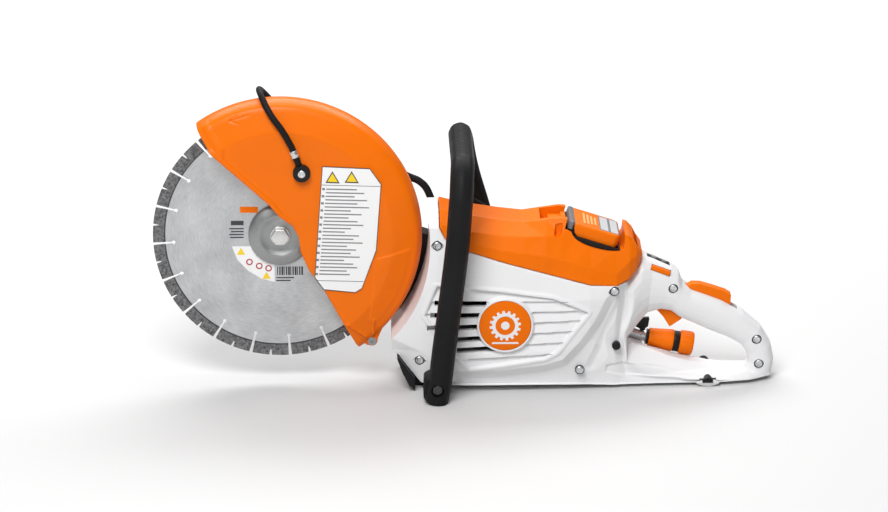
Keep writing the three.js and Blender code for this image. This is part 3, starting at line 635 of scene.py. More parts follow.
def loft(name, rings):
    """A closed body through rings of points that all have the same number of points."""
    count = len(rings[0])
    points = [p for ring in rings for p in ring]
    faces = [tuple(range(count)), tuple(range(len(points) - count, len(points)))]
    for i in range(len(rings) - 1):
        for k in range(count):
            a, b = i * count + k, i * count + (k + 1) % count
            faces.append((a, b, b + count, a + count))
    return modify(build(name, points, faces), "TRIANGULATE", min_vertices=4)


def hull(name, rows):
    """A loft that is the same on both sides, from rows of (x, the right half's points)."""
    return loft(name, [ring(x, half) for x, half in rows])


def grip_ring(top, bottom, half_width):
    levels = [(0, 0.45), (0.05, 0.66), (0.16, 0.87), (0.3, 0.97), (0.45, 1), (0.62, 0.98),
              (0.8, 0.88), (0.94, 0.68), (1, 0.5)]
    right = [(top[0] + (bottom[0] - top[0]) * t, share * half_width,
              top[1] + (bottom[1] - top[1]) * t) for t, share in levels]
    return right + [(x, -y, z) for x, y, z in reversed(right)]


BODY_RINGS = [
    (131, [(22, 33), (34, 22), (44, -60), (44, -100), (44, -116), (38, -131)]),
    (165, [(24, 36.5), (42, 20), (53, -60), (53, -110), (53, -130), (46, -171)]),
    (186.5, [(24, 37), (47, 20), (57, -40), (60, -110), (60, -148), (54, -172)]),
    (187, [(24, 19.7), (47, 19.5), (57, -40), (60, -110), (60, -148), (54, -172)]),
    (194, [(30, 6.2), (50, 6), (58, -40), (61, -110), (61, -148), (54, -172)]),
    (219, [(30, -6.4), (54, -6.6), (60, -40), (62, -85), (62, -135), (56, -172)]),
    (258, [(30, -18.8), (57, -19), (62, -60), (62, -100), (62, -133), (56, -172)]),
    (329, [(30, -38.6), (58, -38.8), (62, -66), (61, -100), (60, -128), (53, -173)]),
    (364, [(30, -48.8), (57, -49), (60, -66), (58, -92), (56, -118), (50, -174)]),
    (395, [(30, -51), (52, -51.2), (54, -70), (46, -122), (48, -148), (47, -176)]),
    (409, [(24, -50), (38, -50.2), (38, -74), (33, -120), (37, -146), (43, -176)]),
]
GRIP_RINGS = [
    ((391, -56), (390, -136), 44), ((410, -46), (408, -128), 41), ((428, -26.5), (424, -108), 31),
    ((440, -30.8), (434, -97), 25), ((462, -41), (450, -93), 22), ((471, -48), (462, -95), 21),
    ((475, -60), (472, -103), 20), ((486, -70), (480, -107), 19),
    ((504, -76.5), (489, -111), 18.5), ((523, -84), (507, -119.5), 18.5),
    ((548, -99), (530, -129), 18.5),
    ((569, -117.5), (546, -138), 18.5), ((581.5, -138.5), (553, -149), 19),
    ((585, -157), (555, -160), 20), ((582, -173), (549, -168), 22),
]
BASE_RINGS = [
    (386, [(14, -126), (42, -148), (43, -170), (43, -174)]),
    (397, [(14, -127), (43, -150), (46, -171), (46, -176)]),
    (415, [(12, -134), (37, -153), (43, -172), (44, -176)]),
    (462, [(11, -152), (32, -165), (41, -172), (41, -176)]),
    (522, [(11, -167), (30, -171), (39, -174), (39, -176)]),
    (556, [(11, -168), (26, -170), (32, -174), (32, -176)]),
    (581, [(11, -170), (17, -172), (17, -174), (14, -176)]),
]
SIDE = 0.15
SCREWS = [(184.5, -1, -46), (163.5, -142, -46), (393, -58, -49), (352.5, -155, -48.5),
          (464, -65, -16.5), (564, -130, -13.5), (567, -160, -14.5)]


def stadium(circles, steps=24):
    """The outline that is drawn tight round two circles, given as (x, z, radius)."""
    (x0, z0, r0), (x1, z1, r1) = circles
    heading = atan2(z1 - z0, x1 - x0)
    lean = pi / 2 - atan2(r0 - r1, hypot(x1 - x0, z1 - z0))
    outline = []
    for x, z, r, start, end in ((x0, z0, r0, heading + lean, heading + 2 * pi - lean),
                                (x1, z1, r1, heading - lean, heading + lean)):
        for i in range(steps + 1):
            turn = start + (end - start) * i / steps
            outline.append((x + r * cos(turn), z + r * sin(turn)))
    return outline


def copy_of(obj):
    twin = obj.copy()
    twin.data = obj.data.copy()
    bpy.context.scene.collection.objects.link(twin)
    return twin


BATTERY_TOP = (371, 13)
BATTERY_TILT = 18
BATTERY_HALF_X = 31.5
BATTERY_HALF_Y = 33


def tilt(x, z, angle, along, up):
    """A point given along and up from (x, z), in axes that lean by an angle."""
    c, s = cos(radians(angle)), sin(radians(angle))
    return x + along * c + up * s, z - along * s + up * c


def in_battery(along, up):
    """Battery coordinates (along its tilted length, up its axis) as (x, z)."""
    return tilt(*BATTERY_TOP, BATTERY_TILT, along, up)


def battery_space(clearance, top, bottom):
    half_x, half_y = BATTERY_HALF_X + clearance, BATTERY_HALF_Y + clearance
    outline = [in_battery(a, c) for a, c in rectangle(-half_x, half_x, bottom, top)]
    return prism("battery_space", outline, -half_y, half_y)


def turned_block(x, z, angle, length, height, y0, y1):
    corners = rectangle(-length / 2, length / 2, -height / 2, height / 2)
    return prism("turned_block", [tilt(x, z, angle, a, b) for a, b in corners], y0, y1)


CAVITY = [
    (181, [(19, 31.5), (42, 15), (52, -110), (50, -160)]),
    (187, [(19, 32), (43, 15), (53, -110), (52, -165)]),
    (188, [(43, 36), (44, 14), (53, -110), (52, -165)]),
    (219, [(48, 12), (53, -85), (50, -135), (44, -168)]),
    (329, [(48, -30), (50, -66), (46, -128), (40, -168)]),
    (364, [(46, -40), (45, -66), (38, -118), (33, -168)]),
    (388, [(38, -50), (37, -72), (33, -120), (31, -168)]),
    (404, [(30, -70), (29, -100), (27, -140), (27, -168)]),
]
SKID_SPACE = [(110, -120), (131, -133.5), (139, -137.6), (164, -171.4), (205, -172.2),
              (205, -190), (110, -190)]
LOUVRE_ENDS = [(181, 242), (176, 236), (172, 234), (207, 238), (207, 254)]
LINE_ENDS = [(286, 338), (296, 356), (297, 352), (294, 343), (286, 333), (222, 320)]
PANEL_TILT = 22.85
LATCH = (449, -42.6)
LATCH_TILT = 22
PLUG = (396, -128)
FOOT_YS = (-34, 34)


def inner_spaces():
    """Room for what sits in the casing or next to it."""
    return [hull("cavity", CAVITY),
            rod("disc_space", 0, 0, 176, -90, 90, 360), prism("skid_space", SKID_SPACE, -80, 80),
            battery_space(3.9, 60, -137), prism("arm_space", arm_outline(46, 53), 33.85, 80),
            rod("motor_space", *ARM_END, 15, 0, 80),
            rod("badge_seat", BADGE[0], BADGE[2], 31.3, -80, -58.6, 96),
            prism("trigger_bay", [(438, -80), (484, -88), (486, -114), (434, -106)], -6.6, 6.6),
            block("switch_bay", (444, -7.4, -84), (470, 7.4, -60)),
            prism("lockout_bay", [(479, -62), (484, -84), (540, -113), (541, -92), (500, -70)],
                  -7.6, 7.6),
            turned_block(*LATCH, LATCH_TILT, 25, 6.6, -40, -8),
            turned_block(447, -35.1, PANEL_TILT, 30, 4.6, -7.4, 7.4),
            sweep("inlet", [(398, 14, -119), (418, 14, -130.2), (434, 14, -134.5)], 8, 32, 12),
            sweep("coupling_space", [(430, 14, -134.3), (460, 14, -139.6), (500, 14, -146.6)],
                  15.4, 48, 6),
            sweep("hose_inlet", SUPPLY_ROUTE[-5:], 5, 32, 16),
            rod("plug_hole", *PLUG, 5.2, -60, -36),
            *[block("foot_hole", (495, y - 6.4, -185), (515, y + 6.4, -171.8)) for y in FOOT_YS]]


def louvre_cuts():
    """The left side's open louvres, and the thin lines that go on from them."""
    cuts = []
    for line, (x0, x1) in zip(SLAT_LINES[1:], LOUVRE_ENDS):
        z0, z1 = slat_line(line, x0) - 0.6, slat_line(line, x1) - 0.6
        cuts.append(prism("louvre", [(x0, z0 - 4.8), (x1, z1 - 4.8), (x1, z1 + 2.3),
                                     (x0, z0 + 2.3)], -80, -46))
    for line, (x0, x1) in zip(SLAT_LINES[1:], LINE_ENDS):
        z0, z1 = slat_line(line, x0), slat_line(line, x1)
        cuts.append(prism("slat_line", [(x0, z0 - 0.7), (x1, z1 - 0.4), (x1, z1 + 0.4),
                                        (x0, z0 + 0.7)], -80, -56.2))
    for (x0, z0), (x1, z1) in zip(LOUVRE_FIELD[:5], LOUVRE_FIELD[1:6]):
        cuts.append(prism("top_line", [(x0 - 0.2, z0 - 0.9), (x1 + 0.2, z1 - 0.9),
                                       (x1 + 0.2, z1 + 0.1), (x0 - 0.2, z0 + 0.1)], -80, -56.6))
    return cuts


def screw_pockets():
    """Soft diamonds round the screws of the body, and round pockets in the rear handle."""
    cuts = []
    for x, z, y in SCREWS[:4]:
        diamond = []
        for i in range(48):
            t = 2 * pi * i / 48
            grow = 1 / (abs(cos(t)) ** 1.35 + abs(sin(t)) ** 1.35) ** (1 / 1.35)
            diamond.append((x + 7.6 * grow * cos(t), z + 6.6 * grow * sin(t)))
        cuts.append(prism("screw_pocket", diamond, y - 30, y - 0.2))
    return cuts + [rod("screw_pocket", x, z, 5.9, y - 30, y) for x, z, y in SCREWS[4:]]


def right_louvres():
    return [turned_block(318, -76 - 13 * i, 0, 46, 3.4, 50, 90) for i in range(4)]


def make_casing():
    outer = union(hull("body", BODY_RINGS),
                  loft("grip", [grip_ring(*r) for r in GRIP_RINGS]),
                  hull("base", BASE_RINGS))
    remesh(outer, 1.15, 4)
    emboss(outer, casing_relief)
    for tool in (*inner_spaces(), *louvre_cuts(), *screw_pockets(), *right_louvres()):
        boolean(outer, tool)
    for node, y0, y1 in (("left_casing", -SIDE, 400), ("right_casing", -400, SIDE)):
        half = boolean(copy_of(outer), block("other_half", (-400, y0, -400), (800, y1, 400)))
        publish(half, WHITE, "white_shell", node, crease=38)
    bpy.data.objects.remove(outer)
    plug = turned("side_plug", *PLUG,
                  [(-45.6, 0), (-45.6, 2.2), (-44.8, 2.6), (-44.8, 4.2), (-44, 5), (-38, 5),
                   (-38, 0)], 48)
    publish(plug, BLACK, "black_plastic", body="chassis")


# ---------------------------------------------------------------- hood, badge and battery

HOOD_RINGS = [
    (187.4, [(24, 38), (44, 27), (48, 22.5), (48.5, 20.7)]),
    (194.2, [(24, 36), (46, 23), (50, 10), (50.5, 6.6)]),
    (219, [(25, 30), (48, 16), (54, 3), (54.5, -5.8)]),
    (258, [(25, 24), (49, 11), (56, -5), (57.5, -18.2)]),
    (286, [(25, 20.8), (49, 9), (57, -9), (58, -26)]),
    (312, [(27, 24), (46, 9), (57, -13), (58, -33.2)]),
    (330, [(29, 26), (42, 8), (56, -18), (58, -38.2)]),
    (345, [(30, 24), (40.5, 2), (55, -22), (58, -42.4)]),
    (364.4, [(30, 21), (40.5, -5), (53.5, -29), (57, -48.2)]),
    (395.4, [(29, 17), (39.5, -12), (49.5, -38), (52, -51.4)]),
    (411, [(24, 14), (34, -3), (42, -24), (42, -45.5)]),
    (420, [(19, 5), (28, -4), (35, -18), (34, -36)]),
    (426.5, [(12, -12), (18, -15), (25, -19), (24, -22.8)]),
]
HOOD_CAVITY = [
    (191.5, [(18, 32), (40, 19), (44, -20)]), (219, [(20, 25.5), (43, 12), (50, -30)]),
    (286, [(20, 16), (44, 4.5), (53, -45)]), (301, [(20, 7), (42, 1), (53, -51)]),
    (334, [(24, 7), (36, 1), (50, -60)]),
]
SCALLOP = [(341.6, 30), (341.4, 19), (342.4, 11), (345.5, 5), (350.7, 0.4), (361, -5),
           (373.6, -9.2), (386, -11.8), (396, -12.4), (401.4, -11), (404.4, -7),
           (405.4, 0), (406, 12), (407, 26)]


def make_hood():
    hood = remesh(hull("hood", HOOD_RINGS), 1.0, 2)
    scallop = [(x, z) for x, _, z in curve_points([(x, 0, z) for x, z in SCALLOP], 90)]
    cuts = [hull("cavity", HOOD_CAVITY),
            prism("scallop", [*scallop, (407, 90), (341.6, 90)], -70, 70),
            battery_space(3.8, 60, -132),
            block("finger_recess", (306, -21, 11), (340, 21, 60)),
            prism("fin_top", [(396, 8), (410, 4.5), (416, -1), (421, -11), (432, -24), (432, 60),
                              (396, 60)], -70, 70)]
    for side in (-1, 1):
        slot = [(321.5, 8), (323.5, 20), (332.5, 22), (331, 9.5), (326, 6)]
        cuts.append(bevel(prism("side_slot", slot, *sorted((side * 31, side * 60))), 2, 4))
    cuts.append(bevel(block("rear_slot", (414.5, -24, -22), (421.5, 24, -2)), 2, 4))
    for tool in cuts:
        boolean(hood, tool)
    publish(hood, ORANGE, "orange_shell", "battery_hood", crease=38)


def rounded(half_x, half_y, radius, steps=8):
    """A rounded rectangle's outline."""
    points = []
    for sx, sy, start in ((1, 1, 0), (-1, 1, 90), (-1, -1, 180), (1, -1, 270)):
        points += arc(sx * (half_x - radius), sy * (half_y - radius), radius, start, start + 90,
                      steps)
    return points


def battery_block(name, half_x, half_y, levels, middle=0.0, radius=9.0):
    """A rounded block in battery coordinates; levels is a list of (height, inset)."""
    rings = []
    for height, inset in levels:
        outline = rounded(half_x - inset, half_y - inset, radius - inset)
        places = [(in_battery(a + middle, height), y) for a, y in outline]
        rings.append([(x, y, z) for (x, z), y in places])
    return loft(name, rings)


def battery_plate(name, a0, a1, y0, y1, low=-0.5, high=0.12):
    return prism(name, [in_battery(a, c) for a, c in rectangle(a0, a1, low, high)], y0, y1)


def make_battery():
    cap = battery_block("battery_cap_shell", BATTERY_HALF_X, BATTERY_HALF_Y,
                        [(-23.9, 0), (-2.6, 0), (-1.2, 0.5), (-0.4, 1.3), (0, 2.6)])
    curve = [(-24.9, 6), (-24.8, -3.5), (-23.6, -8), (-20.6, -12.6), (-13, -16.4), (-3, -17.6),
             (8.5, -17.8), (20, -17.2), (27, -16), (30.6, -12), (31.4, -6), (31.6, 6)]
    bowl = [in_battery(a, c) for a, _, c in curve_points([(a, 0, c) for a, c in curve], 70)]
    boolean(cap, prism("bowl", bowl, -50, 50), "INTERSECT")
    bevel(cap, 0.5, 2, 50)
    publish(cap, ORANGE, "orange_shell", "battery_cap")
    skirt = battery_block("battery_skirt", 31, 32.4, [(-23.8, 0), (-3.4, 0), (-3, 0.5)])
    publish(skirt, BLACK, "black_plastic", body="battery")
    strip = battery_block("battery_end_strip", 3.6, 31.5,
                          [(-9, 0), (-1, 0), (0.1, 0.4), (0.6, 1.2)], -28.2, 3.4)
    for i in range(9):
        y = -24 + 6 * i
        boolean(strip, battery_plate("rib", -31, -26, y - 0.6, y + 0.6, 0, 2))
    publish(strip, GREY, "grey_plastic", body="battery")
    publish(battery_plate("battery_label", 5.5, 29.6, -27, 27), GREY, "grey_plastic",
            body="battery")
    squares = [battery_plate("square", a0, a1, -25, 25, -0.4, 0.22)
               for a0, a1 in ((7, 16.5), (19.5, 28.4))]
    publish(join("battery_label_squares", *squares), PALE_GREY, "label_white", body="battery")
    bars = [battery_plate("bar", -14 + 4.6 * i, -11.6 + 4.6 * i, -20 + 2 * i, 20 - 2 * i)
            for i in range(4)]
    publish(join("battery_print", *bars), PALE_ORANGE, "orange_shell", body="battery")


def make_badge():
    x, y, z = BADGE
    ring_radius, disc_radius = BADGE_RADII
    ring = turned("badge_ring", x, z,
                  [(y - 0.2, disc_radius + 0.2), (y - 0.5, disc_radius + 0.8),
                   (y - 0.5, ring_radius - 1), (y + 0.3, ring_radius), (y + 5.5, ring_radius),
                   (y + 5.5, disc_radius + 0.2)], 96)
    publish(ring, WHITE, "white_shell", body="chassis")
    disc = turned("badge_disc", x, z,
                  [(y, 0), (y, disc_radius - 1.4), (y + 0.3, disc_radius - 0.5),
                   (y + 1, disc_radius), (y + 4, disc_radius), (y + 4, 0)], 96)
    publish(disc, ORANGE, "orange_shell", "badge")
    teeth = 16
    outline = []
    for i in range(teeth):
        for radius, share in ((15.5, 0.0), (18.5, 0.12), (18.5, 0.5), (15.5, 0.62)):
            turn = 2 * pi * (i + share) / teeth
            outline.append((x + radius * cos(turn), z + radius * sin(turn)))
    glyph = prism("badge_glyph", outline, y - 0.35, y + 0.2)
    boolean(glyph, rod("hole", x, z, 11.5, y - 2, y + 2, 48))
    glyph = join("badge_glyph", glyph, rod("hub", x, z, 5, y - 0.35, y + 0.2, 32),
                 prism("bar", [(x - 16, z - 22.5), (x + 16, z - 22.5), (x + 15, z - 20.3),
                               (x - 15, z - 20.3)], y - 0.3, y + 0.2))
    publish(glyph, WHITE, "white_shell", body="chassis")


# ---------------------------------------------------------------- guard

GUARD_SCREW = (108, -128.5)
NOZZLE = (25.8, 84)
GUARD_EDGE = [(-104, 146.5), (-80.8, 106), (-12.5, 43.7), (-0.7, 28.8), (14.6, 17.6),
              (21.7, 3.9), (24, -14.6), (34, -37.6), (49.9, -59.3), (97.5, -147)]
LOWER_PANEL = [(112, -22), (161, -9), (200, -20), (200, -110), (120, -125), (104, -100)]


def guard_relief(points, normals):
    """A rolled lip along the edge, bands and an arrow at the tip, ribs to the lug, a low panel."""
    side = np.sign(points[:, 1])
    facing = step(normals[:, 1] * side, 0.15, 0.6)
    edge = distance_to_line(points, GUARD_EDGE[1:-1])
    tip = distance_to_line(points, GUARD_EDGE[:2])
    lip = 2.2 * step(-edge, -6.2, -5) * step(points[:, 2], 10, 40)
    band = 1.4 * step(-tip, -17, -14) - 1.4 * step(-tip, -9, -6)
    reach = np.hypot(points[:, 0], points[:, 2])
    lower = 1.3 * step(depth_inside(points, LOWER_PANEL), 0, 2.5) * (1 - step(reach, 150, 157))
    rib = 0.0
    for line in ([(79, -104), (101, -122)], [(110, -100), (110, -120)]):
        rib = rib + 2.2 * step(-distance_to_line(points, line), -1.9, -0.5)
    arrow = 0.0
    for line in ([(-36, 152), (-58, 145)], [(-58, 145), (-51, 152)], [(-58, 145), (-48, 142)]):
        arrow = arrow - 0.7 * step(-distance_to_line(points, line), -1.3, -0.4)
    points[:, 1] += side * facing * (np.maximum(lip, band) + lower + rib + arrow)
    return points


def make_guard():
    for side, node in ((-1, "guard_left"), (1, "guard_right")):
        shell = spin("shell", (0, 0, 0), (0, side, 0),
                     [(28, 0), (28, 132.5), (27.4, 134.5), (21.4, 156.5), (19.8, 160.4),
                      (17, 163.2), (13, 165), (7, 167), (0.15, 167.7), (0.15, 164),
                      (10.6, 161.3), (16, 158), (18.4, 153.5), (24.6, 131), (24.6, 0)], 288)
        boolean(shell, prism("keep", [*GUARD_EDGE, (200, -147), (200, 200), (-104, 200)],
                             -60, 60), "INTERSECT")
        lug = prism("lug", [(96, -128), (102, -135), (113, -133), (115, -126), (120, -114),
                            (108, -110)], *sorted((side * 14, side * 0.15)))
        boss = spin("boss", (GUARD_SCREW[0], 0, GUARD_SCREW[1]), (0, side, 0),
                    [(0.15, 0), (0.15, 6.4), (15.4, 6.4), (16.2, 5.6), (16.2, 0)], 48)
        lug = boolean(union(lug, boss), rod("inside", 0, 0, 164, -60, 60, 288))
        shell = union(shell, lug)
        remesh(shell, 1.15, 3)
        emboss(shell, guard_relief)
        if side < 0:
            boolean(shell, rod("screw_seat", *GUARD_SCREW, 4.2, -60, -13))
        else:
            boolean(shell, rod("hub", 0, 0, 29.4, 0, 60, 96))
        boolean(shell, rod("screw_hole", *GUARD_SCREW, 2.9, -60, 60, 32))
        boolean(shell, rod("nozzle_hole", *NOZZLE, 3.4, -60, 60, 32))
        publish(shell, GUARD_ORANGE, "guard_orange", node, crease=50)


def print_marks(name, outlines, y0, y1, material, slot, body):
    """Flat printed marks, all in one mesh."""
    parts = [prism(f"{name}_{i}", outline, y0, y1) for i, outline in enumerate(outlines)]
    publish(join(name, *parts), material, slot, body=body)


def bar_mark(x, z, length, height, lean=0.0):
    rise = length * lean
    return [(x, z), (x + length, z + rise), (x + length, z + height + rise), (x, z + height)]


LABEL_Y = -29.4


def make_label():
    outline = [(50.6, 90.6), (105.6, 87.6), (118.4, 68.8), (112.5, -11.8), (95.6, -58.5),
               (87.8, -63.4), (51.3, -59.5), (41.1, -45)]
    plate = prism("guard_label_film", outline, LABEL_Y, LABEL_Y + 0.5)
    publish(plate, LABEL, "label_white", "guard_label")
    middle = (82, 12)
    wider = [(middle[0] + (x - middle[0]) * 1.022, middle[1] + (z - middle[1]) * 1.011)
             for x, z in outline]
    rim = prism("guard_label_rim", wider, LABEL_Y + 0.15, LABEL_Y + 0.6)
    publish(rim, INK, "black_plastic", body="guard")
    lengths = [36, 45, 34, 49, 38, 52, 31, 44, 29, 40, 47, 33, 26, 43, 37, 48, 30, 41, 35, 46, 28,
               39, 44, 32, 36]
    rows, ticks = [], []
    for i, length in enumerate(lengths):
        z = 63 - 4.35 * i
        left = 54.5 - 0.085 * (63 - z)
        rows.append(bar_mark(left, z, min(length, 112 - left - max(0, -12 - z) * 0.36), 1.5,
                             -0.03))
        if i % 2 == 0:
            ticks.append(bar_mark(left - 4.6, z - 0.6, 3.2, 2.8, -0.03))
    y0, y1 = LABEL_Y - 0.12, LABEL_Y + 0.1
    print_marks("label_rows", rows + ticks, y0, y1, GREY_INK, "grey_plastic", "guard")
    lines = [bar_mark(48.9, 68.6, 69, 0.6, -0.035), bar_mark(43, -49, 54.5, 0.6, -0.03)]
    print_marks("label_lines", lines, y0, y1, INK, "black_plastic", "guard")
    signs, rims = [], []
    for x in (62, 84.5):
        rims.append([(x - 8.4, 71.4), (x + 8.4, 70.6), (x, 85.6)])
        signs.append([(x - 6.2, 72.8), (x + 6.2, 72.2), (x, 83.2)])
    print_marks("label_rims", rims, y0, y1, INK, "black_plastic", "guard")
    print_marks("label_signs", signs, y0 - 0.1, y1, YELLOW, "orange_shell", "guard")


# ---------------------------------------------------------------- disc

SLOTS = 20
SLOT_PHASE = 4.2
CORE_HALF = 1.25
SEGMENT_HALF = 1.7
BORE_RADIUS = 6.3
ROOT_RADIUS = 137
DISC_RADIUS = 150


def radial(outline, turn, name, half=3.0):
    """A prism whose outline (distance outwards, distance sideways) is turned about the axis."""
    c, s = cos(turn), sin(turn)
    return prism(name, [(r * c - t * s, r * s + t * c) for r, t in outline], -half, half)


def make_disc():
    core = tube("disc_core", 0, 0, BORE_RADIUS, ROOT_RADIUS, -CORE_HALF, CORE_HALF, 360)
    edge = SEGMENT_HALF - 0.3
    rim = turned("disc_segments", 0, 0,
                 [(-SEGMENT_HALF, ROOT_RADIUS + 0.02), (-SEGMENT_HALF, DISC_RADIUS - 0.3),
                  (-edge, DISC_RADIUS), (edge, DISC_RADIUS), (SEGMENT_HALF, DISC_RADIUS - 0.3),
                  (SEGMENT_HALF, ROOT_RADIUS + 0.02)], 360)
    keyhole = [(126 + 2.3 * cos(radians(a)), 2.3 * sin(radians(a))) for a in range(30, 331, 15)]
    slot = [(152, 2.1), (152, -2.1), (127.8, -1.0), *keyhole[::-1], (127.8, 1.0)]
    notch = [(143.8, -0.8), (152, -1.8), (152, 1.8), (143.8, 0.8), (143.3, 0)]
    for i in range(SLOTS):
        turn = radians(SLOT_PHASE + 360 / SLOTS * i)
        boolean(core, radial(slot, turn, "slot"))
        boolean(rim, radial(slot, turn, "slot"))
        boolean(rim, radial(notch, turn + pi / SLOTS, "notch"))
    publish(core, DISC_STEEL, "disc_steel", "cutting_disc")
    publish(rim, SEGMENT, "dark_steel", body="spindle_set")
    seam = tube("disc_seam", 0, 0, ROOT_RADIUS - 1.6, ROOT_RADIUS + 0.5, -1.42, 1.42, 360)
    for i in range(SLOTS):
        boolean(seam, radial(slot, radians(SLOT_PHASE + 360 / SLOTS * i), "slot"))
    publish(seam, DARK_STEEL, "dark_steel", body="spindle_set")


def make_disc_print():
    y0, y1 = -CORE_HALF - 0.12, -CORE_HALF + 0.05
    body = "spindle_set"
    print_marks("disc_print_orange", [bar_mark(-47, 27, 21, 7.5, -0.02)], y0, y1, ORANGE,
                "orange_shell", body)
    dark = [bar_mark(*bar) for bar in (
        (-58, 11.5, 15, 5.5), (-60, 6.4, 17, 1.7), (-58, 2.8, 15, 1.7), (-60, -0.8, 17, 1.7),
        (-59, -4.4, 16, 1.7), (-5, -54.5, 21, 1.5), (-5, -58, 17, 1.5))]
    dark += [bar_mark(-4 + 2.6 * i, -50.5, 1.1 + 0.5 * (i % 3), 10.5) for i in range(12)]
    print_marks("disc_print_dark", dark, y0, y1, INK, "black_plastic", body)
    patch = [(-57, -14.5), (-33, -14.5), (-28, -27), (-7, -35.5), (-7, -59), (-22, -55),
             (-38, -45), (-51, -31)]
    print_marks("disc_print_patch", [patch], y0, y1, LABEL, "label_white", body)
    y0 -= 0.08
    signs = [[(x - 5, z - 4), (x + 5, z - 4), (x, z + 4.6)]
             for x, z in ((-46.5, -21), (-16.5, -51))]
    print_marks("disc_print_signs", signs, y0, y1, YELLOW, "orange_shell", body)
    rings = [tube(f"ring_{x}", x, z, 2.5, 4, y0, y1, 32)
             for x, z in ((-36.5, -34), (-25, -39), (-14, -42))]
    publish(join("disc_print_rings", *rings), RED, "orange_shell", body=body)


def make_flange_and_bolt():
    flange = turned("flange_plate", 0, 0,
                    [(-1.6, 6.3), (-6.6, 6.3), (-6.6, 14.5), (-6.9, 17.5), (-7.7, 20.5),
                     (-8.9, 23.4), (-9.4, 24.8), (-9.3, 26), (-8.6, 29), (-6.8, 33.4),
                     (-5.2, 36.2), (-3.9, 37.3), (-1.6, 37.5)], 144)
    publish(flange, FLANGE_STEEL, "cast_alloy", "outer_flange", crease=28)
    head = bevel(prism("bolt_head", hexagon(0, 0, 11), -14.5, -7), 0.9, 3)
    washer = turned("washer", 0, 0, [(-8, 0), (-8, 11.4), (-7.7, 11.8), (-7.2, 12), (-6.6, 12),
                                     (-6.6, 0)], 64)
    publish(join("hex_bolt", head, washer), BOLT_STEEL, "bright_steel", "disc_bolt")


# ---------------------------------------------------------------- handle, skid and feet

LOW_BOLT = (183.5, -161.5)
HIGH_BOLT = (244, -14)
HANDLE_ROUTE = [
    (182.2, -95, -177.5), (184.6, -95, -165), (187.4, -95, -148), (190.6, -95, -120),
    (195, -95, -85), (206, -95, 4), (210, -95, 54), (211.5, -92.5, 73), (212.5, -83, 91),
    (213.5, -67, 100.5), (214, -50, 102.5), (214, 0, 102.5), (214, 54, 102.5), (214.5, 72, 100),
    (216.5, 86, 90), (219, 93.5, 73), (222.5, 94.5, 55), (227.5, 92.5, 36), (235, 86, 12),
    (240.5, 80, -8), (244, 77, -22),
]


def tube_section(turn):
    """A tube with eight soft flats and a fine seam on two sides."""
    flats = 1 + 0.012 * cos(8 * turn)
    seam = 0.02 * max(0, 1 - abs(sin(turn)) * 14)
    return flats - seam


def make_handle():
    bar = sweep("tube", HANDLE_ROUTE, 13.9, 112, 320, tube_section)
    foot = prism("foot", [(168, -152), (174, -148.5), (190, -148.5), (196, -158), (193, -176),
                          (189, -178.5), (173, -178.5), (167, -174)], -97, -62.8)
    high_foot = prism("high_foot", [(228, 24), (244, 14), (254, 0), (257, -30), (233, -30)],
                      62.6, 74)
    handle = union(bar, bevel(foot, 4, 5), bevel(high_foot, 2, 3))
    for tool in (block("floor_cut", (100, -120, -200), (260, 120, -179.7)),
                 rod("low_bore", *LOW_BOLT, 3.4, -120, -50, 32),
                 rod("low_recess", *LOW_BOLT, 7.6, -120, -99.2, 48),
                 rod("high_bore", *HIGH_BOLT, 3.4, 50, 110, 32),
                 rod("high_recess", *HIGH_BOLT, 6.6, 72, 110, 48)):
        boolean(handle, tool)
    publish(handle, RUBBER, "black_plastic", "front_handle", crease=40)
    skid = remesh(copy_node("front_skid_shell", "front_skid"), 0.9, 3)
    publish(skid, BLACK, "black_plastic", "front_skid", crease=50)
    for node, y in zip(("rear_foot_left", "rear_foot_right"), FOOT_YS):
        arch = arc(505, -153.4, 26.6, -121, -59, 20)
        lens = prism("lens", [*arch, (519, -174.6), (491, -174.6)], y - 8, y + 8)
        publish(bevel(lens, 1, 3, 50), PALE_RUBBER, "grey_plastic", node)
        dome = prism("dome", arc(505, -175.4, 6.4, 0, 180, 20), y - 8.6, y + 8.6)
        publish(bevel(dome, 0.5, 2, 50), BLACK, "black_plastic", body="chassis")


# ---------------------------------------------------------------- belt arm

ARM_END = (232, -86)
COVER_FACE = 62.5
COVER_SCREWS = [(-25, 9), (12, 24), (-12, -25), (246, -122), (262, -66), (203, -112)]


def arm_outline(front, rear, inset=0.0):
    """The belt arm's outline: two circles and their tangents."""
    turn = atan2(ARM_END[1], ARM_END[0])
    shift = (inset * cos(turn), inset * sin(turn))
    return stadium([(shift[0], shift[1], front),
                    (ARM_END[0] - shift[0], ARM_END[1] - shift[1], rear)])


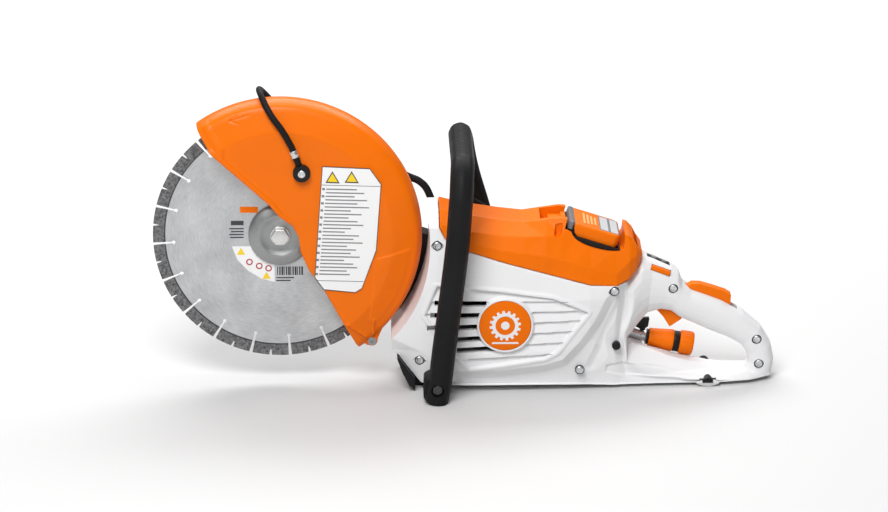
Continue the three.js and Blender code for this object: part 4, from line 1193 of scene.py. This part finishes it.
def make_belt_arm():
    casting = bevel(copy_node("arm_shell", "arm_casting"), 0.8, 3, 50)
    publish(casting, BLACK, "black_plastic", "arm_casting")
    plate = bevel(prism("cover_plate", arm_outline(44, 51), 58.3, 60.6), 0.7, 3, 50)
    crown = bevel(prism("cover_crown", arm_outline(37, 44), 59, COVER_FACE), 1.6, 4, 50)
    cover = union(plate, crown)
    panel = bevel(prism("panel", arm_outline(22, 29, 34), 61.4, 70), 0.8, 3, 50)
    boolean(cover, panel)
    for i in range(5):
        x, z = 52 + 32 * i, -19.3 - 11.9 * i
        rib = prism("rib", [(x - 7, z - 21 - i), (x - 4, z - 21 - i), (x + 9, z + 21 + i),
                            (x + 6, z + 21 + i)], 60.8, 62.1)
        cover = union(cover, bevel(rib, 0.4, 2, 50))
    for x, z in ((0, 0), ARM_END):
        boolean(cover, tube("groove", x, z, 14, 16, 61.6, 70, 64))
    for x, z in COVER_SCREWS:
        boolean(cover, rod("seat", x, z, 5, 61.3, 70, 40))
    publish(cover, BLACK, "black_plastic", "belt_cover", crease=40)
    for i, (x, z) in enumerate(COVER_SCREWS):
        head = turned("head", x, z, [(61, 0), (61, 4.2), (62.4, 4.2), (62.9, 3.6), (62.9, 0)], 36)
        boolean(head, prism("socket", hexagon(x, z, 2), 61.6, 66))
        publish(join(f"cover_screw_{i + 1}", head), STEEL, "bright_steel", body="chassis")


# ---------------------------------------------------------------- controls

def make_controls():
    for node in ("trigger", "lockout_lever"):
        publish(bevel(copy_node(f"{node}_shell", node), 1.6, 4, 25), ORANGE, "orange_shell", node)
    latch = bevel(turned_block(*LATCH, LATCH_TILT, 24, 5.6, -21, -12.5), 1.5, 4)
    publish(latch, ORANGE, "orange_shell", "retaining_latch")
    for node in ("power_button", "water_button"):
        publish(bevel(copy_node(f"{node}_shell", node), 0.5, 3, 40), GREY, "grey_plastic", node)


# ---------------------------------------------------------------- water fittings

SUPPLY_RADIUS = 4.4
NOZZLE_HOSE_RADIUS = 3.8
NUT_GRIPS = 24
NUT_GRIP_DEPTH = 0.03
COUPLING_START = (434, 14, -135)
COUPLING_AXIS = (cos(radians(10)), 0, -sin(radians(10)))
SUPPLY_ROUTE = [
    (37.5, 34, 92.5), (50, 34.5, 97), (72, 36, 99), (100, 37.5, 90), (127, 38.5, 73.5),
    (141, 39, 64), (153, 39, 57.8), (164, 38.5, 53), (172.5, 38, 45), (178.5, 37.5, 32),
    (182, 37, 18), (183.5, 36, 8),
]
NOZZLE_ROUTE = [
    (22.5, -33.6, 95.2), (19.5, -33.6, 103), (14, -33.6, 117), (3, -33, 137), (-8, -30, 152),
    (-15, -24, 163), (-20, -15, 172), (-23, -2, 176.4), (-22.5, 10, 174.6), (-17, 22, 166),
    (-9, 30.5, 154), (0, 32.4, 140), (10, 32.4, 124), (19.5, 32.4, 105), (22.5, 32.4, 95.2),
]


def along_coupling(name, profile, sides=72):
    return spin(name, COUPLING_START, COUPLING_AXIS, profile, sides)


def knurl(nut):
    """Presses shallow grips into the outside of the hose nut."""
    points, _ = points_of(nut)
    from_start = points - np.array(COUPLING_START)
    axis = np.array(COUPLING_AXIS)
    across = from_start - (from_start @ axis)[:, None] * axis
    reach = np.linalg.norm(across, axis=1)
    turn = np.arctan2(across[:, 1], across @ np.array((-axis[2], 0, axis[0])))
    wave = 0.5 + 0.5 * np.cos(NUT_GRIPS * turn)
    shrink = 1 - NUT_GRIP_DEPTH * step(reach, 12, 13.4) * wave
    move_points(nut, points - across * (1 - shrink)[:, None])


def make_coupling():
    sleeve = along_coupling("sleeve", [(3, 9.4), (3, 10.2), (4, 10.9), (6, 11.1), (7, 10.8),
                                       (8, 11), (28.6, 13.1), (31, 13.3), (32.4, 12.8),
                                       (32.8, 12), (32.8, 7.4), (12, 7.4), (12, 9.4)])
    publish(sleeve, ORANGE, "orange_shell", "coupling_sleeve")
    nut = along_coupling("nut", [(40.3, 7.4), (40.3, 12.6), (41.2, 13.8), (43, 14.4),
                                 (53.6, 14.4), (55.8, 13.8), (57, 12.4), (57, 7.4)], 144)
    knurl(nut)
    publish(nut, ORANGE, "orange_shell", "coupling_nut")
    core = along_coupling("core", [(0, 0), (0, 9.2), (2.6, 9.2), (2.6, 7), (33.3, 7),
                                   (33.3, 12.2), (34.6, 12.6), (35.6, 12), (36.6, 12.6),
                                   (37.6, 12), (38.6, 12.6), (39.9, 12.2), (39.9, 7), (56, 7),
                                   (56, 5), (18, 5), (18, 0)])
    publish(core, BLACK, "black_plastic", "coupling_core")
    valve = bevel(copy_node("valve_shell", "valve_lever"), 0.6, 3, 30)
    publish(valve, BLACK, "black_plastic", "valve_lever")


def make_nozzles():
    centre = (NOZZLE[0], 0, NOZZLE[1])
    for side, node in ((-1, "nozzle_left"), (1, "nozzle_right")):
        body = spin("banjo", centre, (0, side, 0),
                    [(22, 0), (22, 2.8), (28.3, 2.8), (28.3, 9.6), (29, 10.3), (34.4, 10.3),
                     (35.3, 9.7), (35.5, 8.6), (35.5, 0)])
        publish(body, BLACK, "black_plastic", node)
        bolt = spin("banjo_bolt", centre, (0, side, 0),
                    [(34, 0), (34, 4.4), (36.8, 4.4), (37.2, 3.9), (37.2, 2.2), (36, 2),
                     (36, 0)], 36)
        publish(bolt, STEEL, "bright_steel", body="guard")


def make_hoses():
    nozzle_hose = sweep("nozzle_hose_tube", NOZZLE_ROUTE, NOZZLE_HOSE_RADIUS, 28, 150)
    publish(nozzle_hose, RUBBER, "black_rubber", "nozzle_hose")
    supply = sweep("supply_hose_tube", SUPPLY_ROUTE, SUPPLY_RADIUS, 28, 110)
    finish_surface(supply, RUBBER)
    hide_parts("supply_hose")
    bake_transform(supply, "chassis", "guard", at(172.5, 38, 45), at(50, 34.5, 97))
    ferrule = spin("ferrule", (17.4, -33.6, 108.3), (-0.359, 0, 0.933),
                   [(-4.2, 3.9), (-4.2, 4.8), (-3.6, 5.1), (-1.6, 5.1), (-1.2, 4.7), (1.2, 4.7),
                    (1.6, 5.1), (3.6, 5.1), (4.2, 4.8), (4.2, 3.9)], 48)
    publish(ferrule, STEEL, "bright_steel", "hose_clip")


# ---------------------------------------------------------------- screws

def make_screws():
    for i, (x, z, seat) in enumerate(SCREWS):
        y = seat - 3.2
        head = turned("head", x, z, [(y + 0.35, 0), (y + 0.2, 2.6), (y, 3.4), (y + 0.5, 4.4),
                                     (y + 1.1, 4.7), (y + 3, 4.7), (y + 3, 0)], 40)
        turns = [2 * pi * k / 48 for k in range(48)]
        lobes = [(2.35 + 0.45 * cos(6 * turn), turn) for turn in turns]
        star = [(x + reach * cos(turn), z + reach * sin(turn)) for reach, turn in lobes]
        boolean(head, prism("socket", star, y - 1, y + 1.9))
        publish(join(f"screw_{i + 1}", head), STEEL, "bright_steel", f"casing_screw_{i + 1}")
        # A black ring round each screw head: a painted shadow of the gap between the head and its pocket.
        shade_ring = tube("ring", x, z, 4.9, 5.6, y + 1.4, y + 3.1, 40)
        publish(join(f"screw_shade_ring_{i + 1}", shade_ring), BLACK, "black_plastic", body="chassis")


# ---------------------------------------------------------------- pieces that keep their shape

def dress_inner_pieces():
    """Gives the CAD nodes that keep their own shape a better material."""
    looks = (
        (BLACK, ("battery_shaft", "drive_belt", "cooling_fan", "motor_controller",
                 "battery_case", "trigger_switch", "control_panel")),
        (STEEL, ("bearing_inner", "bearing_outer", "spindle", "inner_flange", "trigger_pin",
                 "lockout_pin", "motor_pulley", "water_inlet")),
        (DARK_STEEL, ("motor_rotor", "handle_bolt_low", "handle_bolt_high")),
        (ALLOY, ("guard_screw", "spindle_pulley")),
        (COPPER, ("motor_stator",)),
        (ORANGE, ("battery_release",)))
    for material, nodes in looks:
        for node in nodes:
            mesh = frame["nodes"][node].data
            mesh.materials.clear()
            mesh.materials.append(material)


add_camera()
add_floor()
add_light()
dress_inner_pieces()
make_casing()
make_hood()
make_battery()
make_badge()
make_guard()
make_label()
make_disc()
make_disc_print()
make_flange_and_bolt()
make_handle()
make_screws()
make_belt_arm()
make_controls()
make_coupling()
make_nozzles()
make_hoses()
